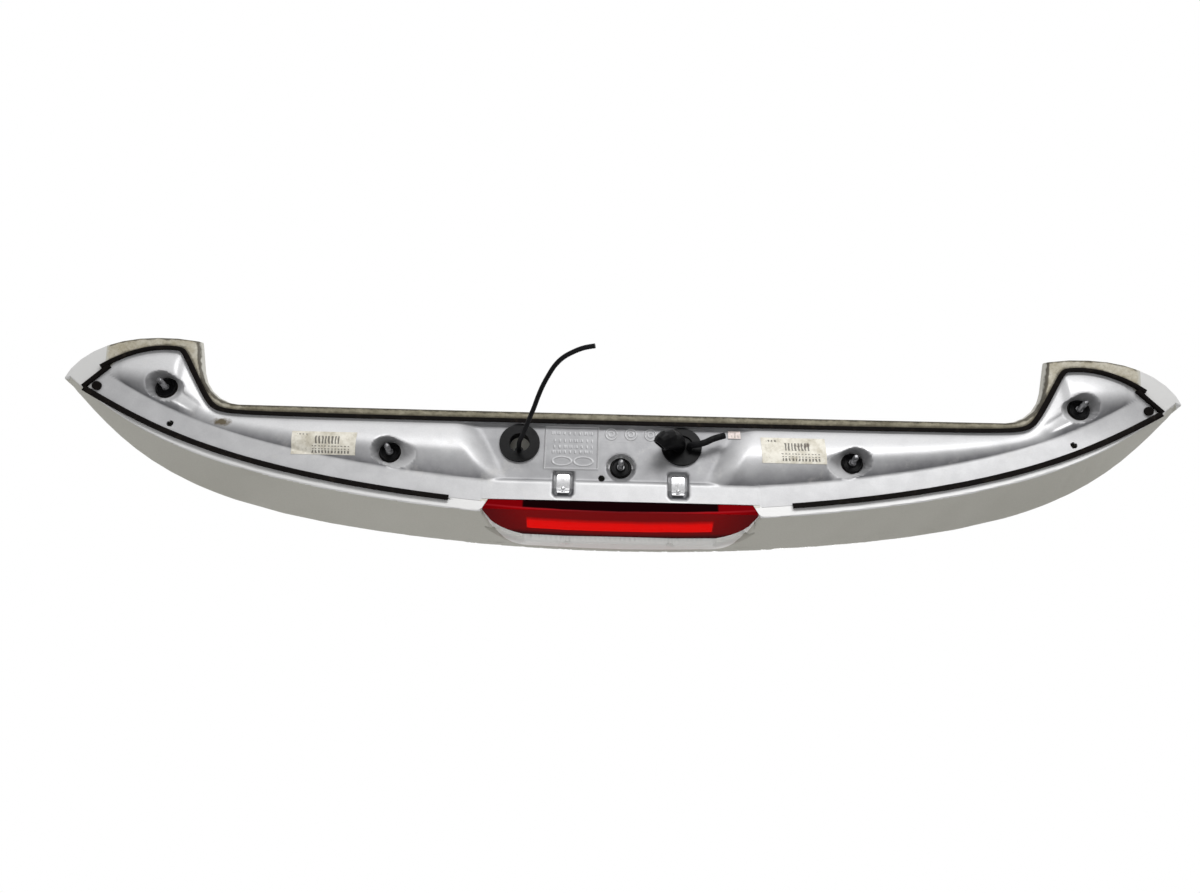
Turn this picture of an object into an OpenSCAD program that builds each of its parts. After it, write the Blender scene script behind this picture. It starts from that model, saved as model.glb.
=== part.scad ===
// Rear roof spoiler: a painted outer skin closed by a silver inner panel, with a high stop lamp,
// five fixing studs, foam seals, two grommets and a washer hose.
// Origin at the seat of the middle stud. +X is the car's right, +Y forward, +Z up.

/* [Plan] */
// Middle of the part to either tip
half_width = 592; // [584:1:600]
// Middle stud forward to the front edge
front_reach = 57; // [55:0.5:60]
// Front edge back to the trailing edge, along the middle
chord = 150; // [146:1:156]
// Trailing edge forward to the lower corner line, along the middle
rear_depth = 39; // [37:0.5:42]
// How far the trailing edge sweeps forward in its shallow bow
trail_bow = 80; // [76:1:84]
// How much further the trailing edge turns forward into the tips
trail_sweep = 90; // [86:1:94]
// How far the lower corner line sweeps forward in its shallow bow
corner_bow = 92; // [88:1:95]
// How much further the lower corner line turns forward into the tips
corner_sweep = 50; // [46:1:54]
// How far the horns reach forward of the front edge
horn_reach = 70; // [66:1:74]
// Tip of the part to the inner side of a horn
horn_width = 132; // [128:0.5:138]
// Radius between the front edge and a horn
horn_fillet = 42; // [38:1:46]

/* [Section] */
// Slope of the mounting face, in degrees
face_angle = 24; // [22:0.5:26]
// Slope of the mounting face under the horns, in degrees
horn_angle = 8; // [6:0.5:10]
// Slope of the top skin, in degrees
top_angle = 8.4; // [7.5:0.1:9.5]
// Height of the front wall
front_depth = 16; // [15:0.5:19]
// Rise of the top skin over its straight chord
camber = 3; // [2:0.25:4]
// Radius of the crown along the part's length
crown_radius = 5000; // [4700:50:5600]
// Wall of the outer skin
skin_wall = 3; // [2.6:0.1:3.2]
// Wall of the inner panel
panel_wall = 2.8; // [2.2:0.1:3]
// Width of the inner panel's welding flange
flange = 5; // [3:0.5:6]
// Clearance between the inner panel and the outer skin
panel_gap = 0.3; // [0.2:0.05:0.5]

/* [Inner panel] */
// Height of the two long bulges over the mounting face
bulge_height = 11; // [8:0.5:12]
// Width of the flat land behind the bulges
land_width = 32; // [30:0.5:34]
// Front edge of the land in the middle, behind the middle stud
plateau_back = 17; // [16.5:0.25:19]
// How far the middle plateau lies below the mounting face
plateau_drop = 3; // [2:0.25:4]
// Middle of the part to the foot of the bulge on the right
bulge_foot_right = 118; // [112:1:124]
// Middle of the part to the foot of the bulge on the left
bulge_foot_left = 84; // [80:1:88]

/* [Studs] */
// Depth of a stud's seat, on top of its base, below the mounting face
seat_depth = 9.4; // [9:0.1:9.8]
// Middle of the part to a mid stud
mid_stud_x = 249; // [244:1:254]
// Middle stud forward to a mid stud
mid_stud_y = 11; // [9:0.5:13]
// Tip of the part to a far stud
far_stud_in = 101; // [98:1:104]
// Middle stud forward to a far stud
far_stud_y = 74.5; // [72:0.5:77]
// Diameter of a stud
stud_d = 6; // [5:0.5:8]
// How far a stud stands over its seat
stud_length = 16; // [13:0.5:20]
// Depth of a far stud's seat below the mounting face
far_seat_depth = 3.6; // [3:0.2:4]
// Radius of a stud's round base
base_radius = 11; // [10:0.25:12]
// Thickness of a stud's round base
base_height = 2.8; // [2.4:0.1:3.2]
// Floor radius of a stud pit
pit_radius = 13; // [12.5:0.25:14]

/* [Seals] */
// Width of the foam seals
seal_width = 5.5; // [5:0.25:6]
// Thickness of the foam seals
seal_height = 4; // [3:0.25:5]
// Front edge back to the middle of the front seal
front_seal_in = 9.5; // [9:0.25:10.5]
// Corner line forward to the middle of the rear seals
rear_seal_in = 10; // [9.5:0.25:11]
// Middle of the part to the inner ends of the rear seals
rear_seal_start = 180; // [170:1:200]
// Tip of the part to the outer end of the seal lines
seal_end_in = 20; // [18:0.5:22]
// Radius of the tip pads
tip_pad_radius = 4.7; // [4.2:0.1:4.9]

/* [Stop lamp] */
// Middle of the part to the lens tips
lamp_half = 144; // [142:0.5:148]
// Middle stud back to the lamp's front edge
lamp_front = 36.5; // [36.25:0.25:37]
// Middle of the part to the front corners of the lens
facet_half = 138.5; // [137:0.5:140]
// Depth of the lens's lower facet
facet_depth = 9.5; // [8.5:0.25:10.5]
// Length of the lens's main face in section
lens_face = 45; // [44:0.25:46]
// Wall of the lens
lens_wall = 2.4; // [2:0.1:2.8]
// Depth of the lamp housing behind the lens
housing_depth = 20; // [17:0.5:21]
// Gap round the lens
lens_gap = 0.4; // [0.2:0.05:0.6]
// Wall of the lamp housing
housing_wall = 1.8; // [1.4:0.1:2.2]
// Number of light diodes
led_count = 10; // [6:1:12]
// Middle of the part to a lamp clip
clip_x = 61; // [58:0.5:64]
// Width of a lamp clip
clip_width = 14; // [12:0.5:15]

/* [Grommets, hose and wiring] */
// Middle of the part to the hose grommet
hose_grommet_x = 109.5; // [106:0.5:112]
// Middle of the part to the wiring grommet
wire_grommet_x = 65; // [62:0.5:68]
// Middle stud forward to the grommets
grommet_y = 23.5; // [22.5:0.5:24]
// Radius of a grommet's flange
grommet_radius = 21.7; // [20.5:0.1:22]
// Thickness of a grommet's flange
grommet_flange = 3; // [2:0.25:4]
// Radius of a grommet's neck
grommet_neck = 16; // [14:0.5:17]
// Diameter of the washer hose
hose_d = 5; // [4.5:0.1:5.5]

/* [Labels] */
// Length of the two long labels
label_length = 68; // [60:1:70]
// Height of the two long labels
label_height = 27; // [22:1:28]
// Thickness of the labels
label_thickness = 0.3; // [0.2:0.05:0.4]

/* [Hidden] */

silver = "#c9cacd";
panel_silver = "#b4b5b9";
foam_black = "#1d1a19";
rubber_black = "#141414";
lens_red = "#c4060a";
label_cream = "#d9d3bf";
tiny = 0.01;

// Angles and radii that only round things off
horn_side_angle = 81;
horn_crest = 30;
horn_corner_drop = 2.5;
face_blend = 20;
edge_round = 3;
tip_start = 47;
tip_thinning = 0.75;
seal_lift = 0.35;
seat_gap = 0.25;
lip_min = 2.5;

seal_ramp_in = 20;
seal_ramp_slope = 2;
seal_crest_from = 28;
seal_crest_run = 58;
seal_crest_in = 10.5;
seal_crest_drop = 17;
end_seal_in = 31.6;
end_seal_length = 19;

// Derived places
horn_side = half_width - horn_width;
far_stud_x = half_width - far_stud_in;
seal_end = half_width - seal_end_in;
front_slope = tan(face_angle);
horn_slope = tan(horn_angle);
face_rise = front_reach * front_slope - seat_depth;
top_rise = face_rise + front_depth;
trail_y0 = front_reach - chord;
corner_y0 = trail_y0 + rear_depth;
tip_y = trail_y0 + trail_bow + trail_sweep;
horn_top = front_reach + horn_reach;
horn_foot = horn_side - (horn_reach - horn_corner_drop) / tan(horn_side_angle);
fillet_start = horn_foot - horn_fillet * tan(horn_side_angle / 2);
fillet_end = fillet_start + horn_fillet * sin(horn_side_angle);
skin_end = half_width - 0.8;
cavity_end = half_width - 22;
window_end = seal_end - 8;
seal_front = front_reach - front_seal_in;
rear_seal_end = seal_end - 6;
end_seal_x = seal_end - 25.7;

function sq(v) = v * v;
function mix(a, b, t) = a + (b - a) * t;
function ease(t) = let (c = min(max(t, 0), 1)) c * c * (3 - 2 * c);
function soft_max(a, b, k) = (a + b + sqrt(sq(a - b) + sq(k))) / 2;
function soft_min(a, b, k) = (a + b - sqrt(sq(a - b) + sq(k))) / 2;
function unit(v) = v / norm(v);

// Plan curves: each gives the y of a line of the part at a distance x from the middle
function share(x) = abs(x) / half_width;
function trail_y(x) = trail_y0 + trail_bow * sq(share(x)) + trail_sweep * pow(share(x), 7);
function tip_arc(x) = let (
    from = horn_side + horn_crest,
    t = min(1, (abs(x) - from) / (half_width - from)))
    tip_y + (horn_top - tip_y) * pow(1 - pow(t, 2.4), 0.625);
function horn_crown_y(x) = horn_top - horn_corner_drop * sq((horn_side + horn_crest - abs(x)) / horn_crest);
function fillet_y(x) = front_reach + horn_fillet - sqrt(sq(horn_fillet) - sq(abs(x) - fillet_start));
function front_y(x) = let (a = abs(x))
    a <= fillet_start ? front_reach :
    a <= fillet_end ? fillet_y(a) :
    a <= horn_side ? front_reach + (a - horn_foot) * tan(horn_side_angle) :
    a <= horn_side + horn_crest ? horn_crown_y(a) : tip_arc(a);
function corner_y(x) = min(corner_y0 + corner_bow * sq(share(x)) + corner_sweep * pow(share(x), 7),
    front_y(x) - 1.5);

// The outline moved inwards by w
function front_inset(x, w) = w == 0 ? front_y(x) :
    min([for (a = [-90:15:90]) front_y(abs(x) + w * sin(a)) - w * cos(a)]);
function trail_inset(x, w) = w == 0 ? trail_y(x) :
    max([for (a = [-90:15:90]) trail_y(abs(x) + w * sin(a)) + w * cos(a)]);

// Heights: the mounting face and the top skin over any point of the plan
function crown(x) = sq(x) / (2 * crown_radius);
function ramp(v) =
    v <= -face_blend ? v * front_slope :
    v >= face_blend ? v * horn_slope :
    (front_slope + horn_slope) / 2 * v
        + (horn_slope - front_slope) / (4 * face_blend) * (sq(v) + sq(face_blend));
function face_z(x, y) = face_rise - crown(x) + ramp(y - front_reach);
function tip_thin(x) = let (t = max(0, (abs(x) - half_width + tip_start) / tip_start))
    sqrt(1 - tip_thinning * sq(min(t, 1)));
function bow_z(x, y) = let (s = (y - trail_y(x)) / (front_y(x) - trail_y(x))) 4 * camber * s * (1 - s);
function full_top_z(x, y) = top_rise - crown(x) + (y - front_reach) * tan(top_angle) + bow_z(x, y);
function top_z(x, y) = mix(face_z(x, y), full_top_z(x, y), tip_thin(x));

// Foam seal lines
function seal_ramp(x) = seal_front + (abs(x) - horn_side + seal_ramp_in) * seal_ramp_slope;
function seal_crest(x) = let (t = max(0, abs(x) - horn_side - seal_crest_from) / seal_crest_run)
    horn_top - seal_crest_in - seal_crest_drop * sq(t);
function front_seal_y(x) = soft_min(soft_max(seal_front, seal_ramp(x), 21), seal_crest(x), 6);
function end_seal_y(x) = horn_top - end_seal_in - 0.95 * (abs(x) - end_seal_x);
function rear_seal_y(x) = corner_y(x) + rear_seal_in * (1 - pow(min(1, abs(x) / seal_end), 12));

// Edges of the inner panel, which run under the seals and along the lamp
function panel_front(x) = min(front_seal_y(x), end_seal_y(x));
function by_lamp(x) = abs(x) < lamp_half + 2;
function panel_back(x) = let (y = max(rear_seal_y(x), corner_y(x) + lip_min))
    by_lamp(x) ? max(y, -lamp_front + lens_gap) : y;
function land_front(x) = min(max(corner_y(x) + land_width, -plateau_back), panel_front(x) - 3);

// How far the inner panel stands out from the mounting face
function bulge_share(x, y) = let (foot = x > 0 ? bulge_foot_right : bulge_foot_left)
    ease((abs(x) - foot - 0.6 * (y + plateau_back)) / 30);
bulge_rise = 36;
bulge_fall = 30;
rim_in = 3;
rim_step = 0.8;
function roll(t) = 1 - pow(1 - min(max(t, 0), 1), 2.4);
function crest(t) = 1 - sq(1 - min(max(t, 0), 1));
function edge_cos(x) = 1 / sqrt(1 + sq((panel_front(abs(x) + 1) - panel_front(abs(x) - 1)) / 2));
function proud(x, y) = let (
    d = y - land_front(x), e = (panel_front(x) - y) * edge_cos(x), b = bulge_share(x, y))
    d <= 0 ? 0 : bulge_height * b * roll(d / bulge_rise) * crest((e - rim_in - 1) / bulge_fall)
        - plateau_drop * (1 - b) * min(1, d / 1.5) * min(1, max(0, (e - rim_in) / rim_step));
function panel_z(x, y) = face_z(x, y) - proud(x, y);

// A closed polyhedron through rings of points that all have the same count
module loft(rings) {
    n = len(rings);
    m = len(rings[0]);
    sides = [for (i = [0:n - 2]) for (j = [0:m - 1]) let (a = i * m, b = a + m, k = (j + 1) % m)
        each [[a + j, a + k, b + k], [a + j, b + k, b + j]]];
    start_cap = [for (j = [1:m - 2]) [0, j + 1, j]];
    end_cap = [for (j = [1:m - 2]) [(n - 1) * m, (n - 1) * m + j, (n - 1) * m + j + 1]];
    polyhedron([for (r = rings) each r], concat(sides, start_cap, end_cap));
}

// A closed polyhedron between two nets of points, lower and upper, given row by row
module plate(lower, upper) {
    n = len(lower);
    m = len(lower[0]);
    rings = [for (i = [0:n - 1]) concat(lower[i], [for (j = [m - 1:-1:0]) upper[i][j]])];
    k = 2 * m;
    sides = [for (i = [0:n - 2]) for (j = [0:k - 1]) let (a = i * k, b = a + k, q = (j + 1) % k)
        each [[a + j, b + q, a + q], [a + j, b + j, b + q]]];
    start_cap = [for (j = [0:m - 2]) let (p = k - 1 - j) each [[j, j + 1, p], [j + 1, p - 1, p]]];
    last = (n - 1) * k;
    end_cap = [for (j = [0:m - 2]) let (p = k - 1 - j)
        each [[last + j, last + p, last + j + 1], [last + j + 1, last + p, last + p - 1]]];
    polyhedron([for (r = rings) each r], concat(sides, start_cap, end_cap));
}

function mirrored(list) = concat([for (i = [len(list) - 1:-1:1]) -list[i]], list);

// Cross stations of the outer skin, closer round the horns and the tips
skin_half = concat([for (i = [0:8]) fillet_start * i / 8],
    [for (a = [16.2:16.2:81]) fillet_start + horn_fillet * sin(a)],
    [(fillet_end + horn_side) / 2, horn_side],
    [for (i = [1:9]) mix(horn_side, skin_end, 1 - pow(1 - i / 9, 1.5))]);
cavity_half = concat([for (i = [0:8]) (fillet_start + skin_wall) * i / 8],
    [for (a = [16.2:16.2:81]) fillet_start + (horn_fillet + skin_wall) * sin(a)],
    [for (i = [0:8]) mix(horn_side + skin_wall, cavity_end, i / 8)]);

// Three points that ease the corner c between the directions to a and b
function eased(a, c, b, r) = let (u = r * unit(a - c), v = r * unit(b - c)) [c + u, c + 0.3 * (u + v), c + v];

// Rows of points across the mounting face, close together under the seals
function face_rows(f, l) = let (k = min(1, (f - l) / 40), a = f - 13 * k, b = l + 14 * k)
    [f - 6 * k, a, mix(a, b, 0.35), mix(a, b, 0.7), b, l + 7 * k];

// The full section at x, as a ring of points
function body_ring(x) = let (
    f = front_y(x), t = trail_y(x), l = corner_y(x),
    r = min(edge_round, (f - t) / 6),
    lower = [l, face_z(x, l)], back = [t, top_z(x, t)],
    up = [f, top_z(x, f)], down = [f, face_z(x, f)],
    ring = concat(
        eased(down, lower, back, r * 0.5), eased(lower, back, up, r),
        [for (s = [0.25, 0.5, 0.75]) let (y = mix(t, f, s)) [y, top_z(x, y)]],
        eased(back, up, down, r), eased(up, down, lower, r * 0.4),
        [for (y = face_rows(f, l)) [y, face_z(x, y)]]))
    [for (p = ring) [x, p[0], p[1]]];

// The hollow's section at x, one wall inside the body
function cavity_ring(x) = let (
    w = skin_wall,
    f = front_inset(x, w), t = trail_inset(x, w * 2.1), l = min(corner_y(x) + 0.3 * w, f - 2),
    floor_up = 1.1 * w,
    ring = concat(
        [[l, face_z(x, l) + 1.2 * w], [t, top_z(x, t) - 1.05 * w]],
        [for (s = [0.25, 0.5, 0.75, 1]) let (y = mix(t, f, s)) [y, top_z(x, y) - 1.02 * w]],
        [for (y = concat([f], face_rows(f, l))) [y, face_z(x, y) + floor_up]]))
    [for (p = ring) [x, p[0], p[1]]];

module body() loft([for (x = mirrored(skin_half)) body_ring(x)]);
module cavity() loft([for (x = mirrored(cavity_half)) cavity_ring(x)]);

// Cross stations of the inner panel and its window
panel_half = concat([0, 48], [for (i = [0:5]) 84 + 10 * i], [lamp_half + 1.5, lamp_half + 4, 158, 168, 180],
    [for (i = [1:5]) mix(180, fillet_start, i / 6)],
    [for (a = [0:16.2:81]) fillet_start + horn_fillet * sin(a)],
    [for (i = [1:9]) mix(fillet_end, window_end - 9, i / 9)], [window_end]);

module window() loft([for (x = mirrored(panel_half)) let (
    b = panel_back(x), f = panel_front(x), up = 1.1 * skin_wall + 1)
    concat([[x, b, face_z(x, b) - 8]],
        [for (t = [0:0.2:1]) let (y = mix(b, f, t)) [x, y, face_z(x, y) + up]],
        [[x, f, face_z(x, f) - 8]])]);

// Frame of the studs: z leaves the part square to the mounting face
module on_face(x, y, z) translate([x, y, z]) rotate([180 + face_angle, 0, 0]) children();

// Stop lamp frame: its section in y and z at the middle, bent along the crown
facet_front = [-lamp_front, face_z(0, -lamp_front)];
facet_back = [-lamp_front - facet_depth, face_z(0, -lamp_front - facet_depth)];
facet_in = [-sin(face_angle), cos(face_angle)];
lamp_angle = atan2(top_z(0, trail_y0) - face_z(0, corner_y0), rear_depth);
lens_up = [-cos(lamp_angle), sin(lamp_angle)];
lens_in = [sin(lamp_angle), cos(lamp_angle)];

// A point of the lamp section: v up the main face from the fold, and d behind it
function lamp_at(v, d) = facet_back + v * lens_up + d * lens_in;
// The fold between the two faces of the lens, d behind both
function fold(d) = let (k = facet_in[0] * lens_in[1] - facet_in[1] * lens_in[0])
    facet_back + d / k * [lens_in[1] - facet_in[1], facet_in[0] - lens_in[0]];
// A convex outline moved inwards by w, corner by corner
function inward(p, w) = let (n = len(p)) [for (i = [0:n - 1]) let (
    u = unit(p[i] - p[(i + n - 1) % n]), v = unit(p[(i + 1) % n] - p[i]), k = u[0] * v[1] - u[1] * v[0])
    p[i] + w / abs(k) * (v - u)];

// A section of the lamp revolved along the crown
module crowned(half_length) {
    half_angle = asin(half_length / crown_radius);
    rotate([-90, 0, 0]) translate([0, crown_radius, 0])
        rotate([0, 0, -90 - half_angle]) rotate_extrude(angle = 2 * half_angle, $fn = 1440) children();
}

// The lamp section is drawn in y and z and turned into the revolve's own plane
module lamp_section(points) polygon([for (p = points) [crown_radius + p[1], p[0]]]);

// Outline of the lens on its main face: x across and y up the face, moved out by grow
lamp_shoulder = 34;
function lens_outline(grow) = let (
    c = [lamp_half - 18, lamp_shoulder],
    half = concat([[lamp_half + grow, -20], [lamp_half + grow, 1]],
        [for (t = [0:0.2:1]) let (a = [lamp_half - 7.5, 18], b = [lamp_half - 40, lens_face - 3.5])
            mix(mix(a, c, t), mix(c, b, t), t) + grow * [0.75 - 0.55 * t, 0.65 + 0.35 * t]],
        [[lamp_half * 0.4, lens_face - 0.8 + grow]]))
    concat(half, [for (i = [len(half) - 1:-1:0]) [-half[i][0], half[i][1]]]);

// Frame on the main face: x across, y up the face and z out of it
module on_lens() translate([0, facet_back[0], facet_back[1]]) rotate([180 - lamp_angle, 0, 0]) children();
// The outline carried through the lens, from low to high in front of its main face
module lens_prism(grow, low, high) on_lens() translate([0, 0, low]) linear_extrude(high - low)
    polygon(lens_outline(grow));

// Plan of the lamp: it narrows along the facet, and opens out behind it
plan_ease = 0.3;
module lamp_plan(grow, ahead) translate([0, 0, -90]) linear_extrude(160) polygon(let (g = grow,
    half = [[facet_half + g, ahead - lamp_front], [facet_half + g, plan_ease - lamp_front],
        [lamp_half + plan_ease + g, facet_back[0] + plan_ease],
        [lamp_half + g + 30, facet_back[0] - 12], [lamp_half + g + 30, -130]])
    concat(half, [for (i = [len(half) - 1:-1:0]) [-half[i][0], half[i][1]]]));

// All that lies outside a surface d behind the lens
module outside_lens(d) crowned(lamp_half + 24) lamp_section(concat(
    [facet_front + d * facet_in + 9 * [cos(face_angle), sin(face_angle)],
    fold(d), lamp_at(72, d), lamp_at(72, -40)],
    [[-120, -90], [-28, -90]]));

// Recess round the lamp, flared outwards from the lens to the rear face
module lamp_recess(grow, depth, ahead) intersection() {
    outside_lens(depth);
    lamp_plan(lens_gap + grow, ahead);
    hull() {
        lens_prism(lens_gap + grow, -30, 0);
        lens_prism(lens_gap + grow + 14, 14, 14 + tiny);
    }
}

// Stiffening webs between the rear face and the top skin
web_count = 5;
web_first = lamp_half + 46;
web_pitch = (horn_side - web_first) / web_count;
web_half = 1;
module webs() for (side = [-1, 1], i = [0:web_count - 1])
    let (x = side * (web_first + web_pitch * i)) hull() {
        translate([x, trail_y(x), -80]) cylinder(r = web_half, h = 140, $fn = 8);
        translate([x, corner_y(x) + 2, -80]) cylinder(r = web_half, h = 140, $fn = 8);
    }

module outer_skin() color(silver) difference() {
    union() {
        difference() {
            body();
            cavity();
        }
        intersection() {
            body();
            union() {
                webs();
                lamp_recess(skin_wall - lens_gap, lens_wall + seat_gap + ledge_wall, tiny);
            }
        }
    }
    lamp_recess(0, lens_wall + seat_gap, 3);
    window();
    lamp_bay();
}

// Room for the lamp behind its lens, inside a narrow ledge that carries the lens
ledge_width = 2.5;
ledge_wall = 2;
module lamp_bay() intersection() {
    lens_prism(-ledge_width, -60, 1);
    lamp_plan(-ledge_width, 3);
    translate([-lamp_half, -90, -60])
        cube([2 * lamp_half, 92 - lamp_front, 60 + lamp_at(lens_face, 0)[1] + 3.5]);
}

// Frame on the flat land: z leaves the part square to the local slope
function ramp_slope(v) = (ramp(v + 1) - ramp(v - 1)) / 2;
module on_land(x, y) let (turn_x = atan(x / crown_radius))
    translate([x, y, face_z(x, y)])
    rotate([180 + atan(ramp_slope(y - front_reach) * cos(turn_x)), turn_x, 0]) children();

tip_pad_x = seal_end - 14;
tip_pad_y = 72.8;

// Studs: a seat is where the rubber base, once pressed, meets the car
squash = 0.5;
washer_height = 0.8;
shoulder = 0.8;
head_radius = 5.8;
head_height = 2.2;
pit_floor = squash + base_height + washer_height + 0.1;

studs = [for (p = [[0, 0], [mid_stud_x, mid_stud_y], [-mid_stud_x, mid_stud_y],
    [far_stud_x, far_stud_y], [-far_stud_x, far_stud_y]])
    [p[0], p[1], face_z(p[0], p[1]) + (abs(p[0]) == far_stud_x ? far_seat_depth : seat_depth)]];

// A stud pit flares from its round floor towards the middle of the part
middle_mouth = 16.8;
side_mouth = 23;
module pit(p, grow, floor_drop) on_face(p[0], p[1], p[2]) hull() {
    translate([0, 0, -pit_floor - floor_drop]) cylinder(r = pit_radius + grow, h = 0.5, $fn = 28);
    translate([0, 0, 24]) cylinder(r = (p[0] == 0 ? middle_mouth : side_mouth) + grow, h = 0.5, $fn = 28);
    if (p[0] != 0) translate([-sign(p[0]) * 26, 12, 26]) cylinder(r = 16 + grow, h = 0.5, $fn = 24);
}

// Rows of points across the panel, from its back edge over the land to its front rim
function panel_net_y(x) = let (
    b = panel_back(x) + panel_gap, f = panel_front(x) - panel_gap, l = max(land_front(x), b + 1),
    rim = rim_in + rim_step)
    concat([b, mix(b, l, 0.55)], [for (t = [0, 0.08, 0.2, 0.38, 0.6, 0.8]) mix(l, f, t)],
        [for (e = [rim, rim_in, 0]) max(mix(l, f, 0.85 + 0.15 * (rim - e) / rim), f - e / edge_cos(x))]);
flange_low = 1.1 * skin_wall + panel_gap;
flange_high = flange_low + 2;
function flange_back(x, b) = by_lamp(x) ? 0.1 :
    max(0.2, min(flange, b - corner_y(x) - 0.3 * skin_wall - 0.6));
function flange_front(x, f) = max(0.2, min(flange, front_inset(x, skin_wall) - f - 0.8));
function over_face(x, y, h) = [x, y, face_z(x, y) + h];

// The panel's two faces at x, each with its welding flanges
function panel_lower(x) = let (ys = panel_net_y(x), b = ys[0], f = ys[len(ys) - 1])
    concat([over_face(x, b - flange_back(x, b), flange_low), over_face(x, b, flange_low)],
        [for (y = ys) [x, y, panel_z(x, y)]],
        [over_face(x, f, flange_low), over_face(x, f + flange_front(x, f), flange_low)]);
function panel_upper(x) = let (ys = panel_net_y(x), n = len(ys), b = ys[0], f = ys[n - 1])
    concat([over_face(x, b - flange_back(x, b), flange_high), over_face(x, b + 2, flange_high)],
        [for (i = [0:n - 1]) let (end = i == 0 || i == n - 1,
            y = i == 0 ? b + panel_wall : i == n - 1 ? f - panel_wall : ys[i])
            [x, y, (end ? max(panel_z(x, y), face_z(x, y)) : panel_z(x, y)) + panel_wall]],
        [over_face(x, f - 2, flange_high), over_face(x, f + flange_front(x, f), flange_high)]);

module panel_plate() plate(
    [for (x = mirrored(panel_half)) panel_lower(x)],
    [for (x = mirrored(panel_half)) panel_upper(x)]);

// Everything on the hollow side of the panel's outer surface
module behind_panel() plate(
    [for (x = mirrored(panel_half)) [for (y = panel_net_y(x)) [x, y, panel_z(x, y)]]],
    [for (x = mirrored(panel_half)) [for (y = panel_net_y(x)) [x, y, 60]]]);

// Pockets in the land, where the lamp clips are reached
pocket_y = -lamp_front + 19;
pocket_depth = 9;
pocket_half = [7.5, 13];
pocket_round = 3;
module at_pocket(side) on_face(side * clip_x, pocket_y, face_z(clip_x, pocket_y)) children();
module clip_pocket(side, grow, low, high) at_pocket(side) translate([0, 0, low])
    linear_extrude(high - low) hull() for (x = [-1, 1], y = [-1, 1])
        translate([x * pocket_half[0], y * pocket_half[1]]) circle(r = pocket_round + grow, $fn = 16);

// Small round holes: one in the plateau and one beside each far stud
small_hole_r = 3.1;
small_holes = [[20.5, -12.4], [far_stud_x - 13, 35], [13 - far_stud_x, 35]];

module inner_panel() color(panel_silver) difference() {
    union() {
        panel_plate();
        intersection() {
            behind_panel();
            union() {
                for (p = studs) pit(p, panel_wall, panel_wall);
                for (side = [-1, 1]) clip_pocket(side, 1.5, -pocket_depth, 5);
            }
        }
    }
    for (p = studs) {
        pit(p, 0, 0);
        on_face(p[0], p[1], p[2]) translate([0, 0, -pit_floor - 10])
            cylinder(r = stud_d / 2 + shoulder + 0.2, h = 12, $fn = 24);
    }
    for (side = [-1, 1]) clip_pocket(side, 0, -12, 20);
    for (p = small_holes) on_face(p[0], p[1], face_z(p[0], p[1])) translate([0, 0, -8])
        cylinder(r = small_hole_r, h = 20, $fn = 20);
    for (x = [hose_grommet_x, -wire_grommet_x]) at_grommet(x) translate([0, 0, -12])
        cylinder(r = grommet_neck + 0.3, h = 24, $fn = 40);
}

// Grommet frame: z leaves the plateau, and zero is on its surface
module at_grommet(x) on_land(x, grommet_y) translate([0, 0, -plateau_drop * cos(face_angle)]) children();

// A strip laid on the mounting face along points of the plan
function turn(v) = [-v[1], v[0]];
function heading(path, i) = unit(path[min(i + 1, len(path) - 1)] - path[max(i - 1, 0)]);
module strip(path, width, height, lift) loft([for (i = [0:len(path) - 1]) let (
    n = turn(heading(path, i)) * width / 2, a = path[i] + n, b = path[i] - n,
    za = face_z(a[0], a[1]) - lift, zb = face_z(b[0], b[1]) - lift)
    [[a[0], a[1], za - height], [b[0], b[1], zb - height], [b[0], b[1], zb], [a[0], a[1], za]]]);

seal_half = concat([for (i = [0:7]) (fillet_start - 20) * i / 7],
    [for (i = [1:12]) mix(fillet_start - 20, horn_side + 36, i / 12)],
    [for (i = [1:6]) mix(horn_side + 36, seal_end - 20.5, i / 6)]);
module front_seal() color(foam_black)
    strip([for (x = mirrored(seal_half)) [x, front_seal_y(x)]], seal_width, seal_height, seal_lift);
module rear_seal(side) color(foam_black)
    strip([for (t = [0:1 / 16:1]) let (x = mix(rear_seal_start, rear_seal_end, t))
        [side * x, rear_seal_y(x)]], seal_width, seal_height, seal_lift);
module end_seal(side) color(foam_black) strip(
    [for (t = [0:0.25:1]) let (x = seal_end - 1.5 - end_seal_length * (1 - t)) [side * x, end_seal_y(x)]],
    seal_width * 0.9, seal_height, seal_lift);
module tip_pads() color(foam_black) for (side = [-1, 1])
    on_land(side * tip_pad_x, tip_pad_y) translate([0, 0, seal_lift])
        cylinder(r = tip_pad_radius, h = 2.4, $fn = 28);

// Studs with their bases and foam washers, measured down from the seat
module stud_washers() color("#3a3938") for (p = studs) on_face(p[0], p[1], p[2])
    translate([0, 0, 0.05 - pit_floor]) difference() {
        cylinder(r = base_radius + 0.8, h = washer_height, $fn = 40);
        translate([0, 0, -1]) cylinder(r = stud_d / 2 + shoulder + 0.2, h = washer_height + 3, $fn = 24);
    }
module stud_bases() color(rubber_black) for (p = studs) on_face(p[0], p[1], p[2])
    translate([0, 0, -squash - base_height]) difference() {
        cylinder(r = base_radius, h = base_height, $fn = 40);
        translate([0, 0, -1]) cylinder(r = stud_d / 2 + shoulder + 0.1, h = base_height + 3, $fn = 24);
        translate([0, 0, base_height - 1]) difference() {
            cylinder(r = base_radius - 2.4, h = 3, $fn = 32);
            translate([0, 0, -1]) cylinder(r = stud_d / 2 + shoulder + 1.6, h = 5, $fn = 28);
        }
    }
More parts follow.
